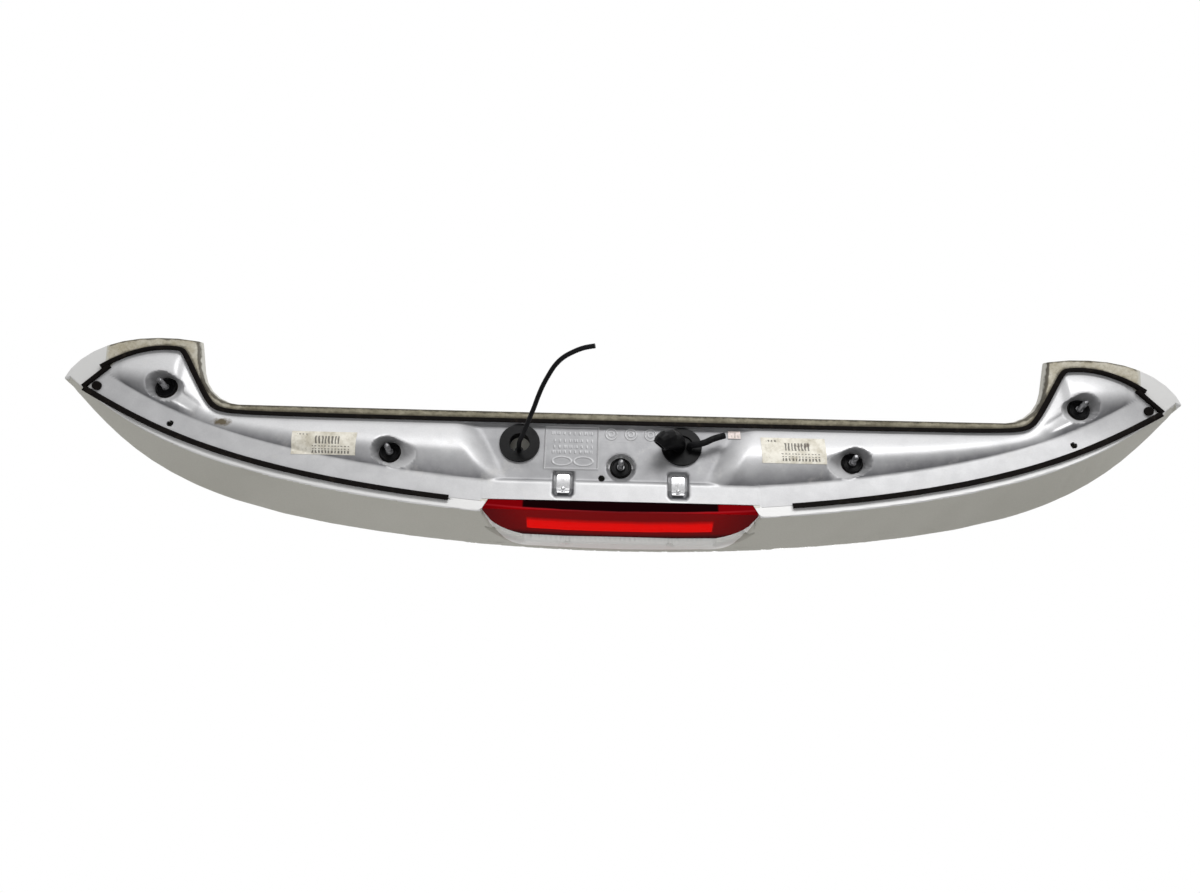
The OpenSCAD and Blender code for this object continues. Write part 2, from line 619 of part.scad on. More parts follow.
module mounting_studs() color("silver") for (p = studs) on_face(p[0], p[1], p[2]) {
    translate([0, 0, -squash - 1]) cylinder(d = stud_d, h = stud_length + squash + 1, $fn = 24);
    translate([0, 0, -pit_floor - panel_wall - 0.3]) cylinder(r = stud_d / 2 + shoulder,
        h = pit_floor + panel_wall + 0.3 - squash, $fn = 24);
    translate([0, 0, -pit_floor - panel_wall - 0.1 - head_height])
        cylinder(r = head_radius, h = head_height, $fn = 6);
}

// Stop lamp
module stop_lamp_lens() color(lens_red) intersection() {
    crowned(lamp_half + 6) lamp_section([facet_front, facet_back, lamp_at(lens_face, 0),
        lamp_at(lens_face, lens_wall), fold(lens_wall), facet_front + lens_wall * facet_in]);
    lens_prism(0, -40, 12);
    lamp_plan(0, 3);
}

// The housing is a box that opens towards the lens, with its back wall upright
seat = lens_wall + seat_gap;
housing_y = -lamp_front - 1.6;
back_v = (facet_back[0] + housing_depth * lens_in[0] - housing_y) / -lens_up[0];
housing_line = [
    facet_front + seat * facet_in + [-0.9, 0.2], [housing_y, lamp_at(back_v, housing_depth)[1]],
    lamp_at(30, housing_depth), lamp_at(lens_face - 3.4, 5.6), lamp_at(lens_face - 3.4, seat), fold(seat)];
mouth = [lamp_at(4, seat - 1), lamp_at(lens_face - 6, seat - 1), lamp_at(lens_face - 6, 5), lamp_at(4, 5)];
inner_reach = ledge_width + 0.5;
module lamp_block(inset) intersection() {
    lens_prism(-inner_reach - inset, -60, 0);
    lamp_plan(-inner_reach - inset, 3);
    crowned(lamp_half - 4 - inset) lamp_section(inward(housing_line, inset));
}
module stop_lamp_housing() color("#1b1b1c") {
    difference() {
        lamp_block(0);
        lamp_block(housing_wall);
        intersection() {
            lens_prism(-inner_reach - 2.5, -60, 0);
            crowned(lamp_half - 8) lamp_section(mouth);
        }
    }
    for (side = [-1, 1]) lamp_arm(side);
}

// A tab of the housing that reaches over a clip pocket
arm_low = pocket_depth + 0.3;
module lamp_arm(side) at_pocket(side) translate([-6, -13, -arm_low - 2]) cube([12, 32.4, 2]);

// Board, diodes and reflector lie one behind the other inside the housing, square to the lens
board_depth = 13;
board_wall = 1.6;
reflector_depth = 9.2;
reflector_wall = 1.4;
reflector_top = lens_face - 10.5;
led_v = 20;
led_pitch = 19;
inner_gap = 0.3;
inner_wall = housing_wall + inner_gap;
led_half = 2.5;
led_height = 2;
function plate_line(v0, v1, d0, d1) = [lamp_at(v0, d0), lamp_at(v1, d0), lamp_at(v1, d1), lamp_at(v0, d1)];
module inner_plate(v0, v1, d0, d1) intersection() {
    crowned(lamp_half - 4 - inner_wall) lamp_section(plate_line(v0, v1, d0, d1));
    lens_prism(-inner_reach - inner_wall, -60, 0);
    lamp_plan(-inner_reach - inner_wall, 3);
}
// Each diode's place: across the lamp and as deep as d
module at_led(i, d) translate([led_x(i), 0, -crown(led_x(i))]) on_lens()
    translate([0, led_v, -d]) children();
module stop_lamp_reflector() color("#8a1012") difference() {
    inner_plate(6, reflector_top, reflector_depth, reflector_depth + reflector_wall);
    for (i = [0:led_count - 1]) at_led(i, 12) cylinder(r1 = 4.5, r2 = 7, h = 4, $fn = 24);
}
module stop_lamp_board() color("#20402a") inner_plate(8, 31, board_depth, board_depth + board_wall);
function led_x(i) = (i - (led_count - 1) / 2) * led_pitch;
module stop_lamp_leds() color("#e8e2c8") for (i = [0:led_count - 1]) at_led(i, board_depth - 0.1)
    translate([-led_half, -led_half, 0]) cube([2 * led_half, 2 * led_half, led_height]);

// A spring leaf folded back over itself under the housing's tab
clip_wall = 0.9;
clip_line = [[8, -arm_low + 0.75], [-11, -arm_low + 0.75], [-12, -arm_low + 2], [-11.4, -3.4],
    [4, -4.2], [7.6, -6.4], [8.6, -5]];
module lamp_clip(side) color("#e6e6e8") at_pocket(side) translate([-clip_width / 2, 0, 0])
    rotate([90, 0, 90]) linear_extrude(clip_width)
    for (i = [0:len(clip_line) - 2]) hull() for (j = [i, i + 1])
        translate(clip_line[j]) circle(d = clip_wall, $fn = 10);

// Grommets: a flanged rubber ring with a neck through the panel
neck_depth = 8;
ring_lift = 0.3;
module ring(bore) difference() {
    union() {
        translate([0, 0, ring_lift]) cylinder(r = grommet_radius, h = grommet_flange, $fn = 56);
        translate([0, 0, -neck_depth]) cylinder(r = grommet_neck, h = neck_depth + 1, $fn = 40);
    }
    translate([0, 0, -neck_depth - 2]) cylinder(r = bore, h = 30, $fn = 40);
}
// The hose grommet is open, with a spout at the rear of its bore
hose_bore = 11;
hose_shift = 8.4;
spout_wall = 2;
module hose_grommet() color(rubber_black) at_grommet(hose_grommet_x) difference() {
    union() {
        ring(hose_bore);
        translate([0, hose_shift, -neck_depth])
            cylinder(r = hose_d / 2 + spout_wall, h = neck_depth + 1.6, $fn = 28);
    }
    translate([0, hose_shift, -neck_depth - 2]) cylinder(r = hose_d / 2 + 0.15, h = 30, $fn = 24);
}
// The wiring grommet is closed by a flat floor
wire_recess = 13;
module wiring_grommet() color(rubber_black) at_grommet(-wire_grommet_x) union() {
    ring(wire_recess);
    translate([0, 0, -neck_depth]) cylinder(r = wire_recess + 0.5, h = neck_depth + 1.2, $fn = 40);
}

// A round bar swept along a route
function ring_frame(dir) = let (side = unit(cross(dir, [0.13, 0.31, 0.94]))) [side, cross(side, dir)];
function along(route, i) = unit(route[min(i + 1, len(route) - 1)] - route[max(i - 1, 0)]);
module swept(route, radii, sides) loft([for (i = [0:len(route) - 1]) let (f = ring_frame(along(route, i)))
    [for (k = [0:sides - 1]) let (a = 360 * k / sides)
        route[i] + radii[i] * (cos(a) * f[0] + sin(a) * f[1])]]);
module tube(route, d, sides) swept(route, [for (p = route) d / 2], sides);

// The hose leaves its spout square to the panel, hangs and curls forwards
hose_route = [[109.6, 13.5, 1.7], [109.4, 15.95, -3.8], [109.3, 18.6, -9.7], [108, 24.5, -18.5],
    [104.5, 31, -27.5], [100, 40, -36.5], [95.5, 50, -45], [91, 60, -52.5], [87, 70, -59.5], [82, 81, -66],
    [76, 91.5, -72], [69.5, 101, -77.5], [61.5, 108.5, -82], [51.5, 114, -85.5], [41, 118, -88],
    [30, 120, -90]];
module washer_hose() color(rubber_black) tube(hose_route, hose_d, 10);

// A wide rubber elbow that ends in an open cup
boot_route = [[-61, 23.1, 1.7], [-60.9, 25.1, -2.8], [-59.4, 27.6, -8.2], [-55, 30, -13.5],
    [-50.5, 31.2, -18], [-46, 30, -21], [-42.5, 27.2, -22.5], [-40, 24, -23]];
boot_radii = [8.2, 8.2, 9.2, 10.4, 11, 10.8, 9.8, 8.4];
cup_route = [[-43.4, 28.4, -22.3], [-38.2, 21.7, -23.4]];
cup_radii = [5.6, 7];
module wiring_boot() color(rubber_black) difference() {
    swept(boot_route, boot_radii, 16);
    swept(cup_route, cup_radii, 16);
}

// The taped wire, and the lead from its grommet to the lamp
tail_d = 7;
lead_d = 5;
tail_route = [[-73.6, 23, 1.7], [-73.6, 24.8, -2.4], [-77, 25.6, -7.4], [-83, 26.6, -10], [-90, 29, -10.5],
    [-97, 32.4, -9.6], [-103.5, 34.6, -8.5], [-110, 36.6, -7.5]];
lead_route = [[-65, 19, 11.2], [-64, 17, 14.5], [-58, 13, 16], [-46, 5, 14], [-38, -7, 8], [-36, -19, -5],
    [-36, -29, -11], [-36, -37.5, -12.2]];
module wiring_tail() color(rubber_black) tube(tail_route, tail_d, 12);
module lamp_lead() color(rubber_black) tube(lead_route, lead_d, 8);

// Paper labels that follow the inner panel
function label_net(x0, y0, length, height, lift) = [for (i = [0:6]) [for (j = [0:4])
    let (x = x0 + length * (i / 6 - 0.5), y = y0 + height * (j / 4 - 0.5)) [x, y, panel_z(x, y) - lift]]];
module label(x0, y0, length, height, lift) plate(
    label_net(x0, y0, length, height, lift + label_thickness), label_net(x0, y0, length, height, lift));
label_in = 66;
label_lift = 0.35;
sticker_lift = 1.2;
module label_right() color(label_cream)
    label(mid_stud_x + label_in, 18, label_length, label_height * 0.9, label_lift);
module label_left() color(label_cream)
    label(label_in - mid_stud_x, 22, label_length, label_height, label_lift);
module small_sticker() color("#e8c9c4") label(-wire_grommet_x - 56, 37, 16, 9, sticker_lift);

outer_skin();
inner_panel();
front_seal();
rear_seal(1);  // rear_seal_right
rear_seal(-1);  // rear_seal_left
end_seal(1);  // end_seal_right
end_seal(-1);  // end_seal_left
tip_pads();
stud_bases();
stud_washers();
mounting_studs();
stop_lamp_lens();
stop_lamp_housing();
stop_lamp_reflector();
stop_lamp_board();
stop_lamp_leds();
lamp_clip(1);  // lamp_clip_right
lamp_clip(-1);  // lamp_clip_left
hose_grommet();
washer_hose();
wiring_grommet();
wiring_boot();
wiring_tail();
lamp_lead();
label_right();
label_left();
small_sticker();
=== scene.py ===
"""Dresses the solids of a used roof spoiler: silver paint, foam seals, rubber, red acrylic and zinc."""
import math

import bmesh
import bpy
from mathutils import Matrix, Vector, noise


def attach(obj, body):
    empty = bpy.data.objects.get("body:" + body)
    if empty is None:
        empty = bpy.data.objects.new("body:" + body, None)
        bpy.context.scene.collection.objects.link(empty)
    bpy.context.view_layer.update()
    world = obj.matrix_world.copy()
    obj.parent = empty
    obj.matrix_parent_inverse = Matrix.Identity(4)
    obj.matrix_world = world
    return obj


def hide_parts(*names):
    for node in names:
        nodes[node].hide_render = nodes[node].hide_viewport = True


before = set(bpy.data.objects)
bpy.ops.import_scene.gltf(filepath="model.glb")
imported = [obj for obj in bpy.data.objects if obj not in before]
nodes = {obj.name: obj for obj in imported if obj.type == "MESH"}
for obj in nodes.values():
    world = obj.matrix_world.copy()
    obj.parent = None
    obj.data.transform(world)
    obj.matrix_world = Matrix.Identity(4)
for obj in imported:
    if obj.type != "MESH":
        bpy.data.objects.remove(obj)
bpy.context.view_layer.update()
scene = bpy.context.scene
MM = 0.001
SENSOR_MM = 36.0
FOCAL_PX = 939
PICTURE_PX = 1200
CAMERA_SPOT = (0.0229, 0.0215, -1.010)
CAMERA_ROLL = math.radians(1.4)


# Camera and light: seen from below, with the car's forward side up in the picture

def place_camera():
    """The photograph's view, 1.01 m under the middle stud and rolled 1.4 degrees."""
    data = bpy.data.cameras.new("camera")
    data.sensor_width = SENSOR_MM
    data.lens = SENSOR_MM * FOCAL_PX / PICTURE_PX
    data.clip_start = 0.01
    camera = bpy.data.objects.new("camera", data)
    right = Vector((-math.cos(CAMERA_ROLL), math.sin(CAMERA_ROLL), 0))
    up = Vector((math.sin(CAMERA_ROLL), math.cos(CAMERA_ROLL), 0))
    turn = Matrix((right, up, right.cross(up))).transposed()
    camera.matrix_world = Matrix.Translation(CAMERA_SPOT) @ turn.to_4x4()
    scene.collection.objects.link(camera)
    scene.camera = camera


def place_lamp(name, spot, target, width, height, power):
    """A soft rectangular lamp that faces a target."""
    data = bpy.data.lights.new(name, "AREA")
    data.shape = "RECTANGLE"
    data.size = width
    data.size_y = height
    data.energy = power
    lamp = bpy.data.objects.new(name, data)
    aim = Vector(target) - Vector(spot)
    lamp.matrix_world = Matrix.Translation(spot) @ aim.to_track_quat("-Z", "Y").to_matrix().to_4x4()
    scene.collection.objects.link(lamp)


place_camera()
place_lamp("front_softbox", (-0.25, 1.2, -0.75), (0, 0, 0), 1.5, 0.5, 17)
place_lamp("under_fill", (0.4, -0.3, -1.25), (0, 0, 0), 1.0, 1.0, 2.5)
place_lamp("overhead", (-0.6, -0.7, 1.7), (0, 0, 0), 1.6, 1.2, 26)
scene.view_settings.view_transform = "Standard"


# Material helpers

def tint(code):
    """An sRGB hex value as a linear colour."""
    parts = [int(code[i:i + 2], 16) / 255 for i in (1, 3, 5)]
    return [c / 12.92 if c <= 0.04045 else ((c + 0.055) / 1.055) ** 2.4 for c in parts] + [1.0]


def add(tree, kind, sockets=None, **settings):
    """Adds a node: sockets maps an input to a value, or to another node's output."""
    node = tree.nodes.new(kind)
    for name, value in settings.items():
        setattr(node, name, value)
    for key, value in (sockets or {}).items():
        if isinstance(value, bpy.types.NodeSocket):
            tree.links.new(value, node.inputs[key])
        else:
            node.inputs[key].default_value = value
    return node


def start_material(name):
    """A bare material, its node tree and its Object coordinates."""
    material = bpy.data.materials.new(name)
    material.use_nodes = True
    tree = material.node_tree
    tree.nodes.clear()
    return material, tree, add(tree, "ShaderNodeTexCoord").outputs["Object"]


def end_material(tree, sockets):
    """The surface shader with its inputs, and the material's output."""
    shader = add(tree, "ShaderNodeBsdfPrincipled", sockets)
    add(tree, "ShaderNodeOutputMaterial", {"Surface": shader.outputs[0]})


def blotches(tree, place, size_mm, detail=3.0, roughness=0.55):
    """Noise whose spots are about size_mm across."""
    return add(tree, "ShaderNodeTexNoise", {
        "Vector": place, "Scale": 1000 / size_mm, "Detail": detail, "Roughness": roughness,
    }).outputs["Fac"]


def ranged(tree, value, low, high, to_low=0.0, to_high=1.0):
    """A value's share of the way from low to high, laid on another range and held within it."""
    return add(tree, "ShaderNodeMapRange", {
        "Value": value, "From Min": low, "From Max": high, "To Min": to_low, "To Max": to_high,
    }).outputs["Result"]


def blended(tree, share, first, second):
    """Colour from first to second as share goes from 0 to 1."""
    return add(tree, "ShaderNodeMix", {0: share, 6: first, 7: second}, data_type="RGBA").outputs[2]


def sums(tree, kind, first, second):
    """One sum of two values: ADD, SUBTRACT, MULTIPLY or MAXIMUM."""
    return add(tree, "ShaderNodeMath", {0: first, 1: second}, operation=kind).outputs[0]


def dented(tree, height, depth_mm):
    """A normal that shows a height as small dents."""
    return add(tree, "ShaderNodeBump", {"Height": height, "Distance": depth_mm * MM}).outputs["Normal"]


def trait(tree, name):
    """A number that the piece carries for each vertex or face."""
    return add(tree, "ShaderNodeAttribute", attribute_name=name).outputs["Fac"]


def from_middle(tree, place):
    """Distance from the spoiler's middle, along it."""
    across = add(tree, "ShaderNodeSeparateXYZ", {0: place}).outputs["X"]
    return add(tree, "ShaderNodeMath", {0: across}, operation="ABSOLUTE").outputs[0]


def grime_of(tree, place, name, size_mm, bare, full):
    """How dirty a point is: the piece's own attribute, broken up by blotches."""
    broken = blotches(tree, place, size_mm, 6.0, 0.7)
    return ranged(tree, sums(tree, "ADD", trait(tree, name), broken), bare, full)


# Materials

def silver_paint():
    """Silver paint on ABS: fine flake, road dirt along the front ledge, and a painted highlight in
    near-white on the band behind the rear seals, on the tips and round the lamp.
    """
    material, tree, place = start_material("silver painted ABS")
    clean = blended(tree, blotches(tree, place, 90), tint("#bcbab0"), tint("#cac8bf"))
    flake = ranged(tree, blotches(tree, place, 1.4, 2.0), 0.35, 0.65)
    clean = blended(tree, sums(tree, "MULTIPLY", flake, 0.1), clean, tint("#97968f"))
    stray = ranged(tree, blotches(tree, place, 9, 5.0, 0.65), 0.3, 0.7, -1.2, 1.2)
    rim = sums(tree, "ADD", trait(tree, "rim"), stray)
    gap = sums(tree, "ADD", trait(tree, "seal_gap"), stray)
    patches = ranged(tree, blotches(tree, place, 16, 6.0, 0.7), 0.35, 0.65)
    dirt = blended(tree, patches, tint("#6b6553"), tint("#98927f"))
    far_out = ranged(tree, from_middle(tree, place), 0.40, 0.45)
    dirt = blended(tree, far_out, dirt, blended(tree, patches, tint("#a29a84"), tint("#cdc9bc")))
    dirt = blended(tree, ranged(tree, gap, 2.8, 5.0, 0.8, 0), dirt, tint("#453f30"))
    dirt = blended(tree, ranged(tree, rim, 0.9, 2.3, 0.8, 0), dirt, tint("#2e291f"))
    grains = ranged(tree, blotches(tree, place, 2.6, 5.0, 0.7), 0.54, 0.68)
    dirt = blended(tree, sums(tree, "MULTIPLY", grains, 0.35), dirt, tint("#4b4536"))
    grime = grime_of(tree, place, "grime", 12, 0.72, 1.0)
    painted_light_border = ranged(tree, trait(tree, "painted_light_border"), -0.25, 0.25)
    colour = blended(tree, grime, clean, dirt)
    # Painted highlight: the band behind the rear seals and the tips are painted near-white, as lit.
    colour = blended(tree, trait(tree, "painted_highlight"), colour, tint("#e0e0e1"))
    # Painted highlight: the lamp's bevelled border is painted near-white, as lit by the front lamp.
    colour = blended(tree, painted_light_border, colour, tint("#f6f6f3"))
    rough = sums(tree, "ADD", ranged(tree, grime, 0, 1, 0.36, 0.8), ranged(tree, flake, 0, 1, 0, 0.06))
    end_material(tree, {
        "Base Color": colour,
        "Metallic": ranged(tree, grime, 0, 1, 0.15, 0.0),
        "Roughness": rough,
        "Normal": dented(tree, blotches(tree, place, 3.0, 4.0), 0.05),
    })
    return material


def silver_panel():
    """Silver paint on moulded ABS, with painted light and shade: near-white on the land and on slopes that
    face forward, grey on slopes that face rearward, darker on the plateau.
    """
    material, tree, place = start_material("silver moulded ABS")
    # Painted light and shade: the painted_shading attribute mixes the near-white tone and the grey tone by
    # how each surface faces the front lamp.
    full = blended(tree, blotches(tree, place, 60), tint("#cfcfd0"), tint("#dfdfe0"))
    painted_shade_grey = blended(tree, blotches(tree, place, 35), tint("#626265"), tint("#717174"))
    mist = ranged(tree, blotches(tree, place, 18, 5.0, 0.6), 0.35, 0.65, -0.06, 0.06)
    clean = blended(tree, sums(tree, "ADD", trait(tree, "painted_shading"), mist), painted_shade_grey, full)
    flake = ranged(tree, blotches(tree, place, 1.3, 2.0), 0.35, 0.65)
    clean = blended(tree, sums(tree, "MULTIPLY", flake, 0.1), clean, tint("#8a8a8d"))
    dust = ranged(tree, blotches(tree, place, 22, 6.0, 0.7), 0.58, 0.74, 0, 0.25)
    clean = blended(tree, dust, clean, tint("#d8d5cf"))
    grime = grime_of(tree, place, "grime", 6, 0.75, 1.1)
    rough = sums(tree, "ADD", ranged(tree, grime, 0, 1, 0.36, 0.8), ranged(tree, dust, 0, 0.25, 0, 0.15))
    end_material(tree, {
        "Base Color": blended(tree, grime, clean, tint("#5f5645")),
        "Metallic": ranged(tree, grime, 0, 1, 0.2, 0.0),
        "Roughness": rough,
        "Normal": dented(tree, blotches(tree, place, 2.2, 4.0), 0.04),
    })
    return material


def cell_foam(name, pale, dark):
    """Closed-cell EPDM foam: dull brown-black, with fine open pores and dust in them."""
    material, tree, place = start_material(name)
    cells = add(tree, "ShaderNodeTexVoronoi", {"Vector": place, "Scale": 1000 / 1.1}).outputs["Distance"]
    dust = ranged(tree, blotches(tree, place, 8, 6.0, 0.7), 0.55, 0.8, 0, 0.6)
    end_material(tree, {
        "Base Color": blended(tree, dust, tint(dark), tint(pale)),
        "Roughness": ranged(tree, dust, 0, 0.6, 0.75, 0.95),
        "Specular IOR Level": 0.06,
        "Normal": dented(tree, cells, 0.25),
    })
    return material


def moulded_rubber(name, colour, shine):
    """Moulded EPDM rubber: black with a weak waxy sheen and a little grey bloom."""
    material, tree, place = start_material(name)
    bloom = ranged(tree, blotches(tree, place, 11, 5.0, 0.65), 0.55, 0.8, 0, 0.4)
    end_material(tree, {
        "Base Color": blended(tree, bloom, tint(colour), tint("#1b1a1a")),
        "Roughness": ranged(tree, bloom, 0, 0.4, shine, shine + 0.25),
        "Specular IOR Level": 0.12,
        "Normal": dented(tree, blotches(tree, place, 0.9, 3.0), 0.05),
    })
    return material


def wire_tape():
    """Cloth tape wound over wires: dull black with a step at each turn."""
    material, tree, place = start_material("cloth tape")
    turns = add(tree, "ShaderNodeTexWave", {
        "Vector": place, "Scale": 1000 / 24, "Distortion": 1.0, "Detail": 2.0,
    }, wave_type="BANDS", bands_direction="X", wave_profile="SAW").outputs["Fac"]
    end_material(tree, {
        "Base Color": blended(tree, blotches(tree, place, 3, 4.0), tint("#070708"), tint("#161618")),
        "Roughness": ranged(tree, turns, 0, 1, 0.5, 0.8),
        "Specular IOR Level": 0.12,
        "Normal": dented(tree, turns, 0.35),
    })
    return material


def plated_steel(name, pale, dark, rough):
    """Zinc-plated steel: bright metal with cloudy patches and fine handling marks."""
    material, tree, place = start_material(name)
    clouds = blotches(tree, place, 4, 5.0, 0.6)
    end_material(tree, {
        "Base Color": blended(tree, ranged(tree, clouds, 0.4, 0.65), tint(pale), tint(dark)),
        "Metallic": 1.0,
        "Roughness": ranged(tree, clouds, 0.3, 0.7, rough, rough + 0.18),
        "Normal": dented(tree, blotches(tree, place, 1.6, 2.0), 0.008),
    })
    return material


def red_acrylic():
    """Clear red PMMA over the optic, drawn opaque: a painted reflection and a painted glow in front of the
    reflector, near black over the housing, and a painted highlight along the fold.
    """
    material, tree, place = start_material("red PMMA lens")
    along = from_middle(tree, place)
    crowned = sums(tree, "MULTIPLY", sums(tree, "MULTIPLY", along, along), 0.25)
    rear = sums(tree, "SUBTRACT", add(tree, "ShaderNodeSeparateXYZ", {0: place}).outputs["Y"], crowned)
    waves = ranged(tree, blotches(tree, place, 26, 3.0), 0.3, 0.7, -0.0002, 0.0002)
    rear = sums(tree, "ADD", rear, waves)
    # Painted reflection: the zone in front of the reflector takes a bright red and a painted glow.
    optic_end = ranged(tree, along, 0.0975, 0.0995, 1, 0)
    optic_front = ranged(tree, rear, -0.0618, -0.0562, 1, 0)
    optic_rear = ranged(tree, rear, -0.0697, -0.0686)
    painted_reflector_zone = sums(tree, "MULTIPLY", sums(tree, "MULTIPLY", optic_end, optic_front), optic_rear)
    flutes = add(tree, "ShaderNodeTexWave", {
        "Vector": place, "Scale": 1000 / 38, "Distortion": 0.6, "Detail": 1.0,
    }, wave_type="BANDS", bands_direction="X").outputs["Fac"]
    # Painted reflection of the reflector: bright red, with the flutes of the optic.
    painted_light = blended(tree, ranged(tree, flutes, 0, 1, 0, 0.12), tint("#ff0200"), tint("#e20003"))
    body = blended(tree, ranged(tree, rear, -0.076, -0.052), tint("#840003"), tint("#980004"))
    ends = ranged(tree, along, 0.100, 0.142)
    body = blended(tree, ends, body, tint("#6a0005"))
    body = blended(tree, ranged(tree, rear, -0.0750, -0.0712, 1, 0), body, tint("#430004"))
    facet = ranged(tree, rear, -0.0468, -0.0455)
    middle = ranged(tree, along, 0.1015, 0.1035, 1, 0)
    body = blended(tree, facet, body, tint("#780006"))
    shade = blended(tree, sums(tree, "MULTIPLY", facet, middle), body, tint("#130002"))
    # Painted highlight: a pink line along the lens's fold.
    fold_front = ranged(tree, rear, -0.0462, -0.0456, 1, 0)
    painted_fold_highlight = sums(tree, "MULTIPLY", ranged(tree, rear, -0.0478, -0.0470), fold_front)
    shade = blended(tree, sums(tree, "MULTIPLY", painted_fold_highlight, 0.2), shade, tint("#c83c46"))
    end_material(tree, {
        "Base Color": blended(tree, painted_reflector_zone, shade, painted_light),
        # Painted glow: the lamp is off, so this emission stands in for light off the reflector.
        "Emission Color": tint("#ff0a04"),
        "Emission Strength": sums(tree, "MULTIPLY", painted_reflector_zone, 0.22),
        "Roughness": 0.12,
        "IOR": 1.49,
        "Specular IOR Level": 0.03,
        "Normal": dented(tree, blotches(tree, place, 9, 2.0), 0.03),
    })
    return material


def black_housing():
    """Black glass-filled plastic, dull and slightly grained."""
    material, tree, place = start_material("black lamp housing")
    grain = blotches(tree, place, 1.2, 4.0)
    end_material(tree, {
        "Base Color": blended(tree, grain, tint("#151516"), tint("#28282a")),
        "Roughness": ranged(tree, grain, 0.3, 0.7, 0.45, 0.65),
        "Normal": dented(tree, grain, 0.08),
    })
    return material


def worn_paper(name, ground, ink_share):
    """A cream paper label, scuffed and dirty, with the ghost of plain printed fields."""
    material, tree, place = start_material(name)
    age = ranged(tree, blotches(tree, place, 12, 6.0, 0.7), 0.42, 0.7)
    paper = blended(tree, age, tint(ground), tint("#b9b2a0"))
    scuff = ranged(tree, blotches(tree, place, 4, 8.0, 0.8), 0.58, 0.68)
    bars = add(tree, "ShaderNodeTexWave", {
        "Vector": place, "Scale": 1000 / 11, "Distortion": 3.0, "Detail": 3.0, "Detail Scale": 2.0,
    }, wave_type="BANDS", bands_direction="X").outputs["Fac"]
    field = ranged(tree, trait(tree, "field"), 0.35, 0.65)
    print_mark = sums(tree, "MULTIPLY", ranged(tree, bars, 0.42, 0.56), field)
    colour = blended(tree, sums(tree, "MULTIPLY", print_mark, ink_share), paper, tint("#2f2b27"))
    colour = blended(tree, sums(tree, "MULTIPLY", scuff, 0.5), colour, tint("#6a6456"))
    broken = blotches(tree, place, 5, 5.0, 0.7)
    smear = ranged(tree, sums(tree, "ADD", trait(tree, "smear"), broken), 0.95, 1.15)
    colour = blended(tree, sums(tree, "MULTIPLY", smear, 0.8), colour, tint("#4a3d33"))
    end_material(tree, {
        "Base Color": colour,
        "Roughness": ranged(tree, scuff, 0, 1, 0.55, 0.85),
        "Normal": dented(tree, scuff, 0.12),
    })
    return material


def circuit_board():
    """Green solder mask over glass fibre, semi-gloss."""
    material, tree, place = start_material("circuit board")
    weave = blotches(tree, place, 2, 2.0)
    end_material(tree, {
        "Base Color": blended(tree, weave, tint("#14401f"), tint("#1d5a2c")),
        "Roughness": ranged(tree, weave, 0, 1, 0.3, 0.45),
    })
    return material


paint = silver_paint()
panel_finish = silver_panel()
foam = cell_foam("EPDM foam", "#3a332b", "#0f0c0b")
pale_foam = cell_foam("washer foam", "#5a564e", "#24211f")
rubber = moulded_rubber("moulded EPDM", "#040405", 0.38)
hose_rubber = moulded_rubber("extruded EPDM hose", "#0e0e10", 0.35)
tape = wire_tape()
zinc = plated_steel("dulled zinc-plated steel", "#98989a", "#404042", 0.36)
bright_steel = plated_steel("bright spring steel", "#f4f4f5", "#d8d8da", 0.2)
lens_red = red_acrylic()
housing_black = black_housing()
label_paper = worn_paper("cream label paper", "#e6e2d6", 0.8)
sticker_paper = worn_paper("pink sticker paper", "#f3e4e1", 0.3)
board_green = circuit_board()

for node_name, material in {
    "outer_skin": paint, "inner_panel": panel_finish, "front_seal": foam, "rear_seal_right": foam,
    "rear_seal_left": foam, "end_seal_right": foam, "end_seal_left": foam, "tip_pads": foam,
    "stud_bases": rubber, "stud_washers": pale_foam, "mounting_studs": zinc, "stop_lamp_lens": lens_red,
    "stop_lamp_housing": housing_black, "stop_lamp_reflector": lens_red, "stop_lamp_board": board_green,
    "stop_lamp_leds": sticker_paper, "lamp_clip_right": bright_steel, "lamp_clip_left": bright_steel,
    "hose_grommet": rubber, "washer_hose": hose_rubber, "wiring_grommet": rubber, "wiring_boot": rubber,
    "wiring_tail": tape, "lamp_lead": tape, "label_right": label_paper, "label_left": label_paper,
    "small_sticker": sticker_paper,
}.items():
    solid = nodes[node_name]
    solid.data.materials.clear()
    solid.data.materials.append(material)


# The part's own lines, in millimetres, as the solids have them

HALF = 592.0
FRONT = 57.0
FACE_SLOPE = math.tan(math.radians(24))
HORN_SLOPE = math.tan(math.radians(8))
FACE_RISE = FRONT * FACE_SLOPE - 9.4
HORN = 460.0
FILLET = 42
FILLET_START = HORN - 67.5 / math.tan(math.radians(81)) - FILLET * math.tan(math.radians(40.5))
FILLET_END = FILLET_START + FILLET * math.sin(math.radians(81))
RISE = math.tan(math.radians(8.4))
HORN_TILT = math.tan(math.radians(81))
BEND = 20
LAMP_FRONT = -46
SMALL_HOLES = [(20.5, -12.4), (478.4, 35), (-478.4, 35)]
HOLE_RADIUS = 3.6
GROMMETS = [(109.5, 23.1), (-65, 23.1)]
GROMMET_OPENING = 14.5
CLIP = (61, -17.5)
STUDS = [(0, 0, 9.4), (249, 11, 9.4), (-249, 11, 9.4), (491, 74.5, 3.6), (-491, 74.5, 3.6)]


def mix(a, b, t):
    """The way from a to b, at share t."""
    return a + (b - a) * t


def clamp(t):
    """A share held between 0 and 1."""
    return min(max(t, 0.0), 1.0)


def ease(t):
    """A share that starts and stops softly."""
    t = clamp(t)
    return t * t * (3 - 2 * t)


def soft_max(a, b, k):
    """The larger of two, with the crossing rounded over about k."""
    return (a + b + math.hypot(a - b, k)) / 2


